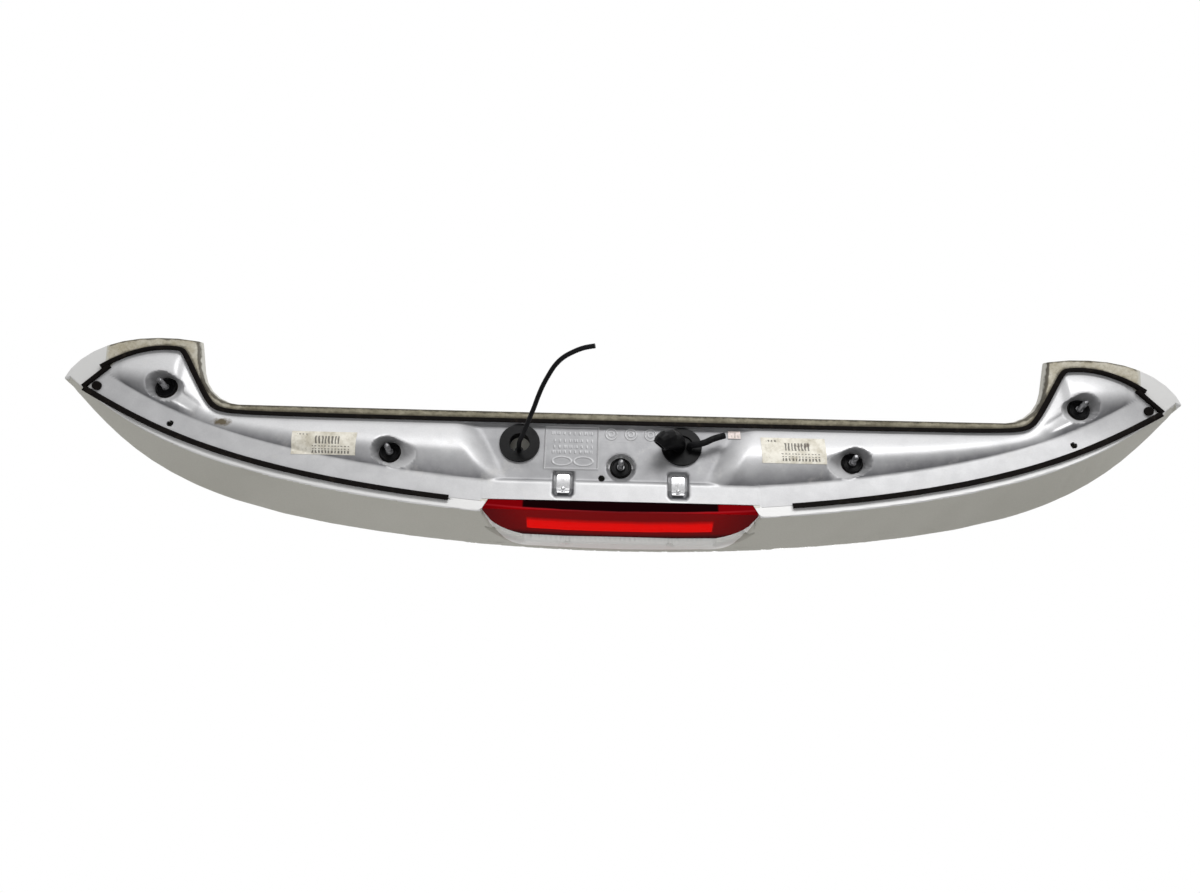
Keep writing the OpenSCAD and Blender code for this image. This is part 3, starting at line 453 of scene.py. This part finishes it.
def soft_min(a, b, k):
    """The smaller of two, with the crossing rounded over about k."""
    return (a + b - math.hypot(a - b, k)) / 2


def trail_y(x):
    """The trailing edge."""
    u = abs(x) / HALF
    return -93 + 80 * u ** 2 + 90 * u ** 7


def front_y(x):
    """The front edge: straight, then up a fillet to the horn and round its end."""
    a = abs(x)
    if a <= FILLET_START:
        return FRONT
    if a <= FILLET_END:
        return FRONT + FILLET - math.sqrt(FILLET ** 2 - (a - FILLET_START) ** 2)
    if a <= HORN:
        return FRONT + (a - HORN) * HORN_TILT + 67.5
    if a <= 490:
        return 127 - 2.5 * ((490 - a) / 30) ** 2
    t = min(1.0, (a - 490) / (HALF - 490))
    return 77 + 50 * (1 - t ** 2.4) ** 0.625


def corner_y(x):
    """The corner between the mounting face and the rear face."""
    u = abs(x) / HALF
    return min(-54 + 92 * u ** 2 + 50 * u ** 7, front_y(x) - 1.5)


def ramp(v):
    """Rise of the mounting face at v in front of the bend, which is rounded."""
    if v <= -BEND:
        return v * FACE_SLOPE
    if v >= BEND:
        return v * HORN_SLOPE
    return (FACE_SLOPE + HORN_SLOPE) / 2 * v + (HORN_SLOPE - FACE_SLOPE) / (4 * BEND) * (v * v + BEND ** 2)


def face_z(x, y):
    """The mounting face."""
    return FACE_RISE - x * x / 10000 + ramp(y - FRONT)


def top_z(x, y):
    """The top skin, which comes down to the mounting face at the tips."""
    t = clamp((abs(x) - 545) / 47)
    share = (y - trail_y(x)) / (front_y(x) - trail_y(x))
    full = FACE_RISE + 16 - x * x / 10000 + (y - FRONT) * RISE + 12 * share * (1 - share)
    return mix(face_z(x, y), full, math.sqrt(1 - 0.75 * t * t))


def front_seal_y(x):
    """Middle line of the front seal."""
    a = abs(x)
    rise = 47.5 + (a - 440) * 2
    crest = 116.5 - 17 * (max(0, a - 488) / 58) ** 2
    return soft_min(soft_max(47.5, rise, 21), crest, 6)


def end_seal_y(x):
    """Middle line of a short seal across the tip."""
    return 95.4 - 0.95 * (abs(x) - 546.3)


def rear_seal_y(x):
    """Middle line of a rear seal."""
    return corner_y(x) + 10 * (1 - min(1, abs(x) / 572) ** 12)


def panel_front(x):
    """The panel's front edge."""
    return min(front_seal_y(x), end_seal_y(x))


def panel_back(x):
    """The panel's rear edge, which steps forward over the lamp."""
    y = max(rear_seal_y(x), corner_y(x) + 2.5)
    return max(y, -36.1) if abs(x) < 146 else y


def land_front(x):
    """Front end of the flat land along the panel's rear edge."""
    return min(max(corner_y(x) + 32, -17), panel_front(x) - 3)


def bulge_share(x, y):
    """How far from the middle plateau to a bulge a point is: the right bulge starts further out."""
    return ease((abs(x) - (118 if x > 0 else 84) - 0.6 * (y + 17)) / 30)


def slant(line, x):
    """How much longer a line is than its run across, at x."""
    return math.sqrt(1 + ((line(abs(x) + 1) - line(abs(x) - 1)) / 2) ** 2)


def proud(x, y):
    """How far the inner panel stands out from the mounting face."""
    d = y - land_front(x)
    if d <= 0:
        return 0.0
    e = (panel_front(x) - y) / slant(panel_front, x)
    share = bulge_share(x, y)
    bulge = 11 * share * (1 - (1 - clamp(d / 36)) ** 2.4) * (1 - (1 - clamp((e - 4) / 30)) ** 2)
    return bulge - 3 * (1 - share) * clamp(d / 1.5) * clamp((e - 3) / 0.8)


# Inner panel: a fine sheet over the solid's own net, with its pits, pockets and embossed marks

TILT_COS = math.cos(math.radians(24))
TILT_SIN = math.sin(math.radians(24))
PIT_FLOOR = -4.2
# How light the plateau is painted: darker than the land.
PLATEAU_TONE = 0.24


def on_face(spot, x, y, z):
    """A point in the frame of the mounting face at spot: across, rearwards and outwards."""
    dx, dy, dz = x - spot[0], y - spot[1], z - spot[2]
    return dx, -dy * TILT_COS - dz * TILT_SIN, dy * TILT_SIN - dz * TILT_COS


def off_face(spot, u, v, h):
    """The way back: across, rearwards and outwards of spot to a place."""
    return spot[0] + u, spot[1] - v * TILT_COS + h * TILT_SIN, spot[2] - v * TILT_SIN - h * TILT_COS


def seat_of(stud):
    """The point where a stud's axis meets its base's seat."""
    return stud[0], stud[1], face_z(stud[0], stud[1]) + stud[2]


def in_pit(stud, x, y, z):
    """Whether a point lies in a stud's pit, which is round in the middle and drawn out at the sides."""
    u, v, h = on_face(seat_of(stud), x, y, z)
    if h < PIT_FLOOR:
        return False
    t = min(1.0, (h - PIT_FLOOR) / 28)
    if stud[0] == 0:
        return math.hypot(u, v - 9 * t) < 14 + 2.6 * t
    side = math.copysign(1, stud[0])
    for s in (0, 0.25, 0.5, 0.75, 1):
        if math.hypot(u + side * 26 * s * t, v - (7 + 12 * s) * t) < 13.3 + t * (3.2 - s):
            return True
    return False


def scoop(x, y):
    """Depth of the shallow troughs that lead into the side pits from the middle."""
    depth = 0.0
    for sx, sy, reach, wide, deep in ((491, 74.5, 46, 9, 4.2), (249, 11, 33, 8, 2.6)):
        towards, back = sx - abs(x), sy - y
        t = towards * 0.86 + back * 0.51
        w = abs(back * 0.86 - towards * 0.51)
        if 8 < t < reach:
            depth = deep * (1 - (t / reach) ** 2) * clamp((wide - 3 * t / reach - w) / 2.2)
    return depth


def clip_spot(side):
    """Middle of a lamp clip's pocket, on the mounting face."""
    return side * CLIP[0], CLIP[1], face_z(*CLIP)


def in_pocket(side, x, y, z):
    """Whether a point lies in a clip's pocket, which has round corners."""
    u, v, h = on_face(clip_spot(side), x, y, z)
    return h > -9 and max(abs(u) - 7.5, 0) ** 2 + max(abs(v) - 13, 0) ** 2 < 9


def hollow(x, y, z):
    """Whether a point lies in one of the panel's recesses."""
    for stud in STUDS:
        if abs(x - stud[0]) < 46 and abs(y - stud[1]) < 40 and in_pit(stud, x, y, z):
            return True
    for side in (-1, 1):
        if abs(x - side * CLIP[0]) < 12 and -36.5 < y < 4 and in_pocket(side, x, y, z):
            return True
    return False


def marks(x, y):
    """Height of the moulded marks on the plateau: a plain frame with ovals and strokes, and three dials."""
    height = 0.0
    if 24 < x < 83 and -4 < y < 43:
        edge = min(x - 25, 82 - x, y + 3, 42 - y)
        height += 0.5 * clamp(1 - abs(edge) / 0.9)
        for cx in (40.5, 63.5):
            ring = math.hypot((x - cx) / 10, (y - 5) / 4.6)
            height += 0.35 * clamp(1 - abs(ring - 1) / 0.16)
        for row in (15, 20.5, 27, 35):
            if 31 < x < 77 and abs(y - row) < 1.5:
                height += 0.25 * clamp(1.5 * math.sin(x * 1.7 + row) * math.sin(x * 0.63 + row * 2))
    for cx in (11, -10.3, -31.6):
        r = math.hypot(x - cx, y - 35.3)
        if r < 8:
            height += 0.5 * clamp(1 - abs(r - 6) / 0.9) + 0.3 * clamp(1 - abs(r - 2.8) / 0.8)
    return height


def panel_point(x, t):
    """A point of the panel's seen side: x across, and t from its rear edge to its front edge."""
    back = panel_back(x) + 0.3
    y = mix(back, panel_front(x) - 0.3, t)
    z = face_z(x, y) - proud(x, y) + scoop(x, y)
    if hollow(x, y, z):
        deep = z
        while hollow(x, y, deep) and deep < z + 26:
            deep += 0.7
        low, high = deep - 0.7, deep
        for _ in range(5):
            middle = (low + high) / 2
            low, high = (middle, high) if hollow(x, y, middle) else (low, middle)
        z = high
    return x, y, z


def spaced(stops):
    """Places along a line whose spacing is given stretch by stretch: (end, step) pairs."""
    places = [stops[0][0]]
    for end, step in stops[1:]:
        count = max(1, round((end - places[-1]) / step))
        start = places[-1]
        places += [mix(start, end, (i + 1) / count) for i in range(count)]
    return places


def net(columns, rows, point, bm=None):
    """A grid bent to shape: point gives each crossing's place in millimetres."""
    bm = bm or bmesh.new()
    across, along = len(columns) - 1, len(rows) - 1
    for v in bmesh.ops.create_grid(bm, x_segments=across, y_segments=along, size=1)["verts"]:
        i = round((v.co.x + 1) / 2 * across)
        j = round((v.co.y + 1) / 2 * along)
        v.co = Vector(point(columns[i], rows[j])) * MM
    return bm


def turned(bm, profile, spot, sides=32):
    """Adds a turned shape that stands out of spot: profile is (radius, height) from low to high."""
    def ring(k, i):
        r, h = profile[k]
        a = 2 * math.pi * i / sides
        return off_face(spot, r * math.cos(a), r * math.sin(a), h)
    net(range(len(profile)), range(sides + 1), ring, bm)


def piece(name, bm, material, replaced=(), smooth=32):
    """Turns a bmesh into a piece, smooth except over its sharp edges."""
    for edge in bm.edges:
        edge.smooth = not edge.is_manifold or edge.calc_face_angle(0) < math.radians(smooth)
    for face in bm.faces:
        face.smooth = True
    mesh = bpy.data.meshes.new(name)
    bm.to_mesh(mesh)
    bm.free()
    made = bpy.data.objects.new(name, mesh)
    mesh.materials.append(material)
    scene.collection.objects.link(made)
    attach(made, "root")
    if replaced:
        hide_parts(*replaced)


def spots(name, bm, value):
    """Writes a number for each vertex, from its place in millimetres."""
    layer = bm.verts.layers.float.new(name)
    for v in bm.verts:
        v[layer] = value(v.co.x / MM, v.co.y / MM, v.co.z / MM)


def panel_painted_shading(x, y, z):
    """How light the panel is painted, as painted light and shade: full on the land and on slopes that face
    forward.
    """
    d = y - land_front(x)
    a = abs(x)
    land = clamp(1 - d / 1.2)
    # Painted shade: the bulges go grey where they slope away from the front lamp.
    rise = proud(x, y + 1) - proud(x, y - 1)
    bulge = clamp(0.72 - 0.5 * rise)
    spread = mix(PLATEAU_TONE, bulge, bulge_share(x, y)) * (1 - land)
    open_side = max(mix(0.84, 0.66, ease(a / 260)) * land, spread)
    # Painted highlight: the troughs into the side pits are painted brighter than the land.
    groove = scoop(x, y)
    open_side = mix(open_side, 1.15, clamp(groove / 1.6))
    sunk = clamp((z - (face_z(x, y) - proud(x, y)) - groove - 0.4) / 2)
    if sunk == 0:
        return open_side
    # Painted shadow: the clip pockets are dark at their rear end and grey further forward.
    if a < 80 and y < -1:
        return mix(open_side, -0.3 if y < -24 else 0.3, sunk)
    # Painted light in the pits: all round in the middle pit, and towards the middle and the rear in the side
    # pits.
    stud = min(STUDS, key=lambda s: math.hypot(x - s[0], y - s[1]))
    painted_light = 1.3 if stud[0] == 0 else 0.5 + 0.7 * clamp((stud[1] - y + abs(stud[0]) - a) / 14)
    return mix(open_side, painted_light, sunk)


def panel_grime(x, y, z):
    """Brown stains at the horn roots and dust along the seals."""
    a = abs(x)
    stain = clamp(1 - math.hypot((a - 425) / 16, (y - 38) / 7)) if x > 0 else 0
    rim = clamp(1 - (panel_front(x) - y) / 6) * 0.35
    return max(stain * 0.9, rim)


def round_holes(bm):
    """Opens the small holes and the grommet holes, with the small ones drawn to a true circle."""
    for v in bm.verts:
        x, y, z = v.co / MM
        for a, b in SMALL_HOLES:
            dx, dy = x - a, (y - b) / 0.93
            r = math.hypot(dx, dy)
            if 2.3 < r < 3.9:
                x, y = a + dx * HOLE_RADIUS / r, b + dy * 0.93 * HOLE_RADIUS / r
                v.co = Vector((x, y, face_z(x, y) - proud(x, y))) * MM
    cut = []
    for f in bm.faces:
        c = f.calc_center_median() / MM
        grommet = min(math.hypot(c.x - a, c.y - b) for a, b in GROMMETS) < GROMMET_OPENING
        drilled = min(math.hypot(c.x - a, (c.y - b) / 0.93) for a, b in SMALL_HOLES) < 3.4
        if grommet or drilled:
            cut.append(f)
    bmesh.ops.delete(bm, geom=cut, context="FACES")


def face_out(bm):
    """Turns a sheet's faces to the seen side, which is below."""
    bmesh.ops.recalc_face_normals(bm, faces=bm.faces)
    if sum(f.normal.z * f.calc_area() for f in bm.faces) > 0:
        bmesh.ops.reverse_faces(bm, faces=bm.faces)


def make_panel():
    """The inner panel as a sheet of even thickness, finest at the pits and the horns."""
    half = [(148, 1.3), (224, 2.6), (278, 1.5), (425, 2.8), (532, 1.5), (564, 2.6)]
    stops = [(-564, 0)] + [(-a, s) for a, s in [(532, 2.6), (425, 1.5), (278, 2.8), (224, 1.5), (148, 2.6)]]
    columns = spaced(stops + half)
    rows = [i / 62 for i in range(63)]
    bm = net(columns, rows, panel_point)
    inside = [v for v in bm.verts if not v.is_boundary]
    bmesh.ops.smooth_vert(bm, verts=inside, factor=0.3, use_axis_x=False, use_axis_y=False, use_axis_z=True)
    round_holes(bm)
    spots("grime", bm, panel_grime)
    spots("painted_shading", bm, panel_painted_shading)
    face_out(bm)
    bmesh.ops.solidify(bm, geom=bm.faces, thickness=2 * MM)
    piece("inner_panel_moulding", bm, panel_finish, replaced=["inner_panel"], smooth=50)


def make_marks():
    """The moulded marks of the plateau, as two thin plates bedded in it."""
    def raised(x, y):
        return x, y, face_z(x, y) - proud(x, y) - 0.08 - 1.3 * marks(x, y)
    bm = bmesh.new()
    for x0, x1, y0, y1 in ((23, 84, -5, 43.2), (-40, 19.5, 26.5, 43.2)):
        columns = spaced([(x0, 0), (x1, 0.5)])
        rows = spaced([(y0, 0), (y1, 0.5)])
        net(columns, rows, raised, bm)
    spots("grime", bm, panel_grime)
    # Painted highlight: the raised marks are painted lighter than the plateau round them.
    spots("painted_shading", bm, lambda x, y, z: PLATEAU_TONE + 0.6 * clamp(1.6 * marks(x, y)))
    face_out(bm)
    bmesh.ops.solidify(bm, geom=bm.faces, thickness=0.4 * MM)
    piece("plateau_marks", bm, panel_finish, smooth=60)


# Outer skin: the solid's own shape, refined and laid on the exact curves

def refined(node, longest_mm, rounds):
    """A merged copy of a solid's mesh, its long edges split, and more so round the lamp."""
    bm = bmesh.new()
    bm.from_mesh(nodes[node].data)
    bmesh.ops.remove_doubles(bm, verts=bm.verts, dist=1e-6)
    for _ in range(rounds):
        long = []
        for e in bm.edges:
            middle = (e.verts[0].co + e.verts[1].co) / 2 / MM
            by_lamp = abs(middle.x) < 165 and middle.y < -36
            if e.calc_length() > (longest_mm / 3 if by_lamp else longest_mm) * MM:
                long.append(e)
        if not long:
            break
        bmesh.ops.subdivide_edges(bm, edges=long, cuts=1)
        bmesh.ops.triangulate(bm, faces=[f for f in bm.faces if len(f.verts) > 3])
    return bm


def settle(bm):
    """Moves what lies close to the top, the mounting face or the rear face onto it, away from the lamp."""
    for v in bm.verts:
        x, y, z = v.co / MM
        low, high = face_z(x, y), top_z(x, y)
        if abs(z - low) < 0.35:
            v.co.z = low * MM
        elif abs(z - high) < 0.45:
            v.co.z = high * MM
        else:
            t, c = trail_y(x), corner_y(x)
            zc, zt = face_z(x, c), top_z(x, t)
            if abs(x) > 175 and t < y < c and abs(zt - zc) > 1:
                line = mix(c, t, (z - zc) / (zt - zc))
                if abs(y - line) < 0.5:
                    v.co.y = line * MM


def skin_grime(x, y, z):
    """Dirt lies on the ledge outside the front seal, and turns over its outer edge."""
    if abs(z - face_z(x, y)) > 1.5:
        return 0.35 if y > front_y(x) - 1.5 and z < face_z(x, y) + 8 else 0.0
    return 1.0 if y > panel_front(x) and abs(x) < 552 else 0.0


def skin_rim(x, y, z):
    """Distance from the front edge, across it."""
    return (front_y(x) - y) / slant(front_y, x)


def skin_seal_gap(x, y, z):
    """Distance from the middle of the front seal, across it."""
    return (y - front_seal_y(x)) / slant(front_seal_y, x)


def border_y(a):
    """Outer edge of the lamp's bevelled border, which is painted near-white as a highlight, at a from the
    middle.
    """
    return -89 + 2 * min(1, a / 89) ** 2 + 37.7 * (max(0, a - 89) / 55) ** 3.2


def lens_y(a):
    """Rear edge of the lens, at a from the middle."""
    up = 44.2 - 2.7 * clamp((a - 57.6) / 46.4) - 40.5 * (max(0, a - 104) / 40) ** 2.2
    return -46.3 - 0.67 * up


def bevel_lamp(bm):
    """Lays the recess's rim as one even bevel, from the lens out to the border's edge."""
    bm.normal_update()
    for v in bm.verts:
        x, y, z = v.co / MM
        a = abs(x)
        if a > 166 or y > -42 or z < face_z(x, y) + 0.3 or z > top_z(x, y) - 1:
            continue
        down, up = corner_y(x), trail_y(x)
        base, rise = face_z(x, down), top_z(x, up) - face_z(x, down)
        inward = Vector((0, rise, down - up)).normalized()
        depth = (y - down) * inward.y + (z - base) * inward.z
        full = (LAMP_FRONT - down) * inward.y + (face_z(x, LAMP_FRONT) - base) * inward.z
        outer, inner = border_y(a), max(lens_y(a), border_y(a) + 1)
        deepest = full + (3.4 if y < inner - 1.5 else 0.6)
        if depth > deepest or v.normal.dot(inward) > -0.12:
            continue
        share = clamp((y - outer) / (inner - outer))
        v.co += inward * (full * share - depth) * MM


def skin_painted_border(x, y, z):
    """How far inside the lamp's border, painted near-white as a highlight, a point is."""
    a = abs(x)
    if a > 150 or y > -38 or z < face_z(x, y) + 0.4 or z > top_z(x, y) - 1.5:
        return -1.0
    return max(-3.0, min(3.0, y - border_y(a)))


def skin_painted_highlight(f):
    """Painted highlight: the band behind the rear seals and the tips are painted near-white, as lit."""
    x, y, z = f.calc_center_median() / MM
    low = face_z(x, y)
    if z < low + 1.2 and y < rear_seal_y(x):
        return 0.8
    if abs(x) > 552 and z < low + 2:
        return 0.75
    return 0.0


def make_skin():
    """The outer shell: the solid's shape on its exact curves, with the lamp's bevel, the dirt, and a painted
    highlight on the lamp's border, the band behind the rear seals and the tips.
    """
    bm = refined("outer_skin", 9, 5)
    settle(bm)
    bevel_lamp(bm)
    spots("grime", bm, skin_grime)
    spots("rim", bm, skin_rim)
    spots("seal_gap", bm, skin_seal_gap)
    spots("painted_light_border", bm, skin_painted_border)
    painted_highlight = bm.faces.layers.float.new("painted_highlight")
    for f in bm.faces:
        f[painted_highlight] = skin_painted_highlight(f)
    piece("outer_shell", bm, paint, replaced=["outer_skin"], smooth=13)


# Strips and bars: a section carried along a path

def carried(sections):
    """A closed bar through rings of points, with its ends filled."""
    count = len(sections[0])
    bm = net(range(len(sections)), range(count + 1), lambda i, j: sections[i][j % count])
    bmesh.ops.remove_doubles(bm, verts=bm.verts, dist=1e-6)
    bmesh.ops.holes_fill(bm, edges=[e for e in bm.edges if e.is_boundary], sides=count)
    bmesh.ops.recalc_face_normals(bm, faces=bm.faces)
    return bm


def seal(name, path, width, height, node):
    """A foam strip on the mounting face, slightly crushed and uneven along its length."""
    sections = []
    for i, (x, y) in enumerate(path):
        before, after = path[max(i - 1, 0)], path[min(i + 1, len(path) - 1)]
        run = Vector((after[0] - before[0], after[1] - before[1])).normalized()
        side = Vector((-run.y, run.x))
        wave = noise.noise(Vector((x / 23, y / 23, 3))) * 0.25
        ring = []
        for across, down in ((-0.5, 0), (-0.5, 0.8), (-0.38, 1), (0.38, 1), (0.5, 0.8), (0.5, 0)):
            px = x + side.x * across * (width + wave)
            py = y + side.y * across * (width + wave)
            ring.append((px, py, face_z(px, py) - 0.35 - down * (height + wave)))
        sections.append(ring)
    piece(name, carried(sections), foam, replaced=[node], smooth=60)


def make_seals():
    """The front, rear and end seals."""
    xs = spaced([(-555, 0), (-380, 3), (380, 12), (555, 3)])
    seal("front_foam_strip", [(x, front_seal_y(x)) for x in xs], 4.6, 4, "front_seal")
    for side, word in ((1, "right"), (-1, "left")):
        rear = [(side * x, rear_seal_y(x)) for x in spaced([(180, 0), (570, 6)])]
        seal("rear_foam_strip_" + word, rear, 5.2, 4, "rear_seal_" + word)
        end = [(side * x, end_seal_y(x)) for x in spaced([(547, 0), (571, 3)])]
        seal("end_foam_strip_" + word, end, 4.6, 4, "end_seal_" + word)


def make_studs():
    """Threaded M6 studs with a chamfered tip, over black rubber bases."""
    steel, bases = bmesh.new(), bmesh.new()
    for stud in STUDS:
        spot = seat_of(stud)
        thread = [(3.8, -4.4), (3.8, -0.6), (2.95, -0.5)]
        for i in range(29):
            thread.append((2.98 if i % 2 else 2.6, 0.4 + i * 0.5))
        turned(steel, thread + [(2.5, 15.1), (2.1, 15.8), (1.4, 16), (0.02, 16)], spot)
        turned(bases, [
            (3.9, -3.3), (3.9, -0.9), (4.3, -0.5), (5.0, -0.5), (5.4, -0.9), (5.5, -1.5), (8.4, -1.5),
            (8.6, -0.9), (9.0, -0.5), (10.5, -0.5), (10.9, -0.8), (11, -1.4), (11, -3.3), (3.9, -3.3),
        ], spot, 48)
    for bm in (steel, bases):
        bmesh.ops.remove_doubles(bm, verts=bm.verts, dist=1e-6)
        bmesh.ops.recalc_face_normals(bm, faces=bm.faces)
    piece("threaded_studs", steel, zinc, replaced=["mounting_studs"], smooth=50)
    piece("pressed_bases", bases, rubber, replaced=["stud_bases"], smooth=50)


def make_clips():
    """Spring clips: a leaf folded back over itself, with a round dimple over its hook."""
    line = [
        (8, -8.55, 5.5), (-10.4, -8.55, 6), (-11.5, -8.1, 6.2), (-12, -7.2, 6.3), (-12, -4.8, 6.3),
        (-11.4, -3.8, 6), (-10.4, -3.4, 5.4), (-8.6, -3.35, 6.8), (-4, -3.4, 7), (3.6, -4.1, 7),
        (5.2, -4.6, 7), (6.3, -5.6, 6.8), (7.3, -6.4, 6.6), (8.3, -6.1, 6.4), (8.8, -5.2, 6.2),
    ]
    for side, word in ((1, "right"), (-1, "left")):
        spot = clip_spot(side)
        bm = net([i / 4 - 1 for i in range(9)], range(len(line)),
                 lambda u, k: off_face(spot, u * line[k][2], line[k][0], line[k][1]))
        face_out(bm)
        bmesh.ops.solidify(bm, geom=bm.faces, thickness=0.8 * MM)
        dimple = Matrix.Translation(Vector(off_face(spot, 0, 5.2, -3.6)) * MM)
        bmesh.ops.create_uvsphere(bm, u_segments=20, v_segments=12, radius=2.1 * MM, matrix=dimple)
        node = "lamp_clip_" + word
        piece("spring_clip_" + word, bm, bright_steel, replaced=[node], smooth=40)


def printed(u, v):
    """Where a label carries print: a block of bars, and rows of small marks under it."""
    block = 0.36 < u < 0.74 and 0.5 < v < 0.8
    rows = 0.3 < u < 0.9 and (0.34 < v < 0.40 or 0.24 < v < 0.29 or 0.08 < v < 0.19)
    return 1.0 if block or rows or (0.08 < u < 0.24 and 0.84 < v < 0.9) else 0.0


LABELS = [
    ("paper_label_right", "label_right", 315, 18, 68, 24.3, 0.35, label_paper, "paper"),
    ("paper_label_left", "label_left", -183, 22, 68, 27, 0.35, label_paper, "paper"),
    ("pink_sticker", "small_sticker", -122, 37.5, 13, 8, 1.2, sticker_paper, "pink_paper"),
]


def make_labels():
    """Thin labels that follow the panel, with their corners a little lifted; the left one is smeared."""
    for name, node, x0, y0, length, height, lift, paper, slot in LABELS:
        us = spaced([(0, 0), (1, 1 / length)])
        vs = spaced([(0, 0), (1, 1 / height)])

        def spot(u, v):
            x, y = x0 + (u - 0.5) * length, y0 + (v - 0.5) * height
            curl = 0.25 * (abs(u - 0.5) * 2) ** 6
            return x, y, face_z(x, y) - proud(x, y) - lift - curl
        bm = net(us, vs, spot)
        field = bm.verts.layers.float.new("field")
        smear = bm.verts.layers.float.new("smear")
        for v in bm.verts:
            across, up = (x0 - v.co.x / MM) / length + 0.5, (v.co.y / MM - y0) / height + 0.5
            v[field] = printed(across, up)
            near = clamp(1.4 - math.hypot((across - 0.66) / 0.2, (up - 0.72) / 0.2))
            v[smear] = 0.6 * near if node == "label_left" else 0
        face_out(bm)
        bmesh.ops.solidify(bm, geom=bm.faces, thickness=0.25 * MM)
        piece(name, bm, paper, replaced=[node], smooth=50)


make_panel()
make_marks()
make_skin()
make_seals()
make_studs()
make_clips()
make_labels()


# Hose and taped wire

def smooth_line(points, steps=4):
    """A Catmull-Rom line through the points."""
    line = []
    for i in range(len(points) - 1):
        p0 = Vector(points[max(i - 1, 0)])
        p1, p2 = Vector(points[i]), Vector(points[i + 1])
        p3 = Vector(points[min(i + 2, len(points) - 1)])
        for k in range(steps):
            t = k / steps
            line.append(0.5 * ((2 * p1) + (p2 - p0) * t + (2 * p0 - 5 * p1 + 4 * p2 - p3) * t ** 2
                               + (3 * p1 - p0 - 3 * p2 + p3) * t ** 3))
    return line + [Vector(points[-1])]


def cord_piece(name, points, thick_mm, material):
    """A round cord as a curve of one open spline through points in millimetres."""
    data = bpy.data.curves.new(name, "CURVE")
    data.dimensions = "3D"
    data.bevel_depth = thick_mm / 2 * MM
    data.bevel_resolution = 5
    data.use_fill_caps = True
    line = data.splines.new("POLY")
    line.points.add(len(points) - 1)
    for spot, p in zip(line.points, points):
        spot.co = (*(Vector(p) * MM), 1)
    data.materials.append(material)
    made = bpy.data.objects.new(name, data)
    scene.collection.objects.link(made)
    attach(made, "root")
    return made


HOSE_ROUTE = [
    (109.6, 13.5, 1.7), (109.4, 15.95, -3.8), (109.3, 18.6, -9.7), (108, 24.5, -18.5), (104.5, 31, -27.5),
    (100, 40, -36.5), (95.5, 50, -45), (91, 60, -52.5), (87, 70, -59.5), (82, 81, -66), (76, 91.5, -72),
    (69.5, 101, -77.5), (61.5, 108.5, -82), (51.5, 114, -85.5), (41, 118, -88), (30, 120, -90),
]
TAIL_ROUTE = [
    (-73.6, 23, 1.7), (-73.6, 24.8, -2.4), (-77, 25.6, -7.4), (-83, 26.6, -10), (-90, 29, -10.5),
    (-97, 32.4, -9.6), (-103.5, 34.6, -8.5), (-110, 36.6, -7.5),
]
hose_line = smooth_line(HOSE_ROUTE)
hose = cord_piece("washer_tube", hose_line, 5, hose_rubber)
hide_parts("washer_hose")
tail_line = smooth_line(TAIL_ROUTE)
tail = cord_piece("taped_wire", tail_line, 7, tape)
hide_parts("wiring_tail")


# Studio

def make_floor():
    """A pale matt floor far under the part."""
    bm = bmesh.new()
    bmesh.ops.create_grid(bm, x_segments=1, y_segments=1, size=6)
    bmesh.ops.translate(bm, verts=bm.verts, vec=(0, 0, -1.4))
    mesh = bpy.data.meshes.new("floor")
    bm.to_mesh(mesh)
    bm.free()
    material, tree, place = start_material("matt studio floor")
    end_material(tree, {
        "Base Color": blended(tree, blotches(tree, place, 400), tint("#e6e6e6"), tint("#ededed")),
        "Roughness": 0.9,
    })
    mesh.materials.append(material)
    floor = bpy.data.objects.new("floor", mesh)
    scene.collection.objects.link(floor)


def make_world():
    """Soft light from all sides, and plain white where the camera, a gloss or a clear piece looks at it."""
    world = bpy.data.worlds.new("studio")
    world.use_nodes = True
    tree = world.node_tree
    tree.nodes.clear()
    path = add(tree, "ShaderNodeLightPath").outputs
    seen = sums(tree, "MAXIMUM", path["Is Camera Ray"], path["Is Glossy Ray"])
    seen = sums(tree, "MAXIMUM", seen, path["Is Transmission Ray"])
    soft = add(tree, "ShaderNodeBackground", {"Color": (1, 1, 1, 1), "Strength": 0.3})
    white = add(tree, "ShaderNodeBackground", {"Color": (1, 1, 1, 1), "Strength": 1.0})
    both = add(tree, "ShaderNodeMixShader", {0: seen, 1: soft.outputs[0], 2: white.outputs[0]})
    add(tree, "ShaderNodeOutputWorld", {"Surface": both.outputs[0]})
    scene.world = world


make_floor()
make_world()
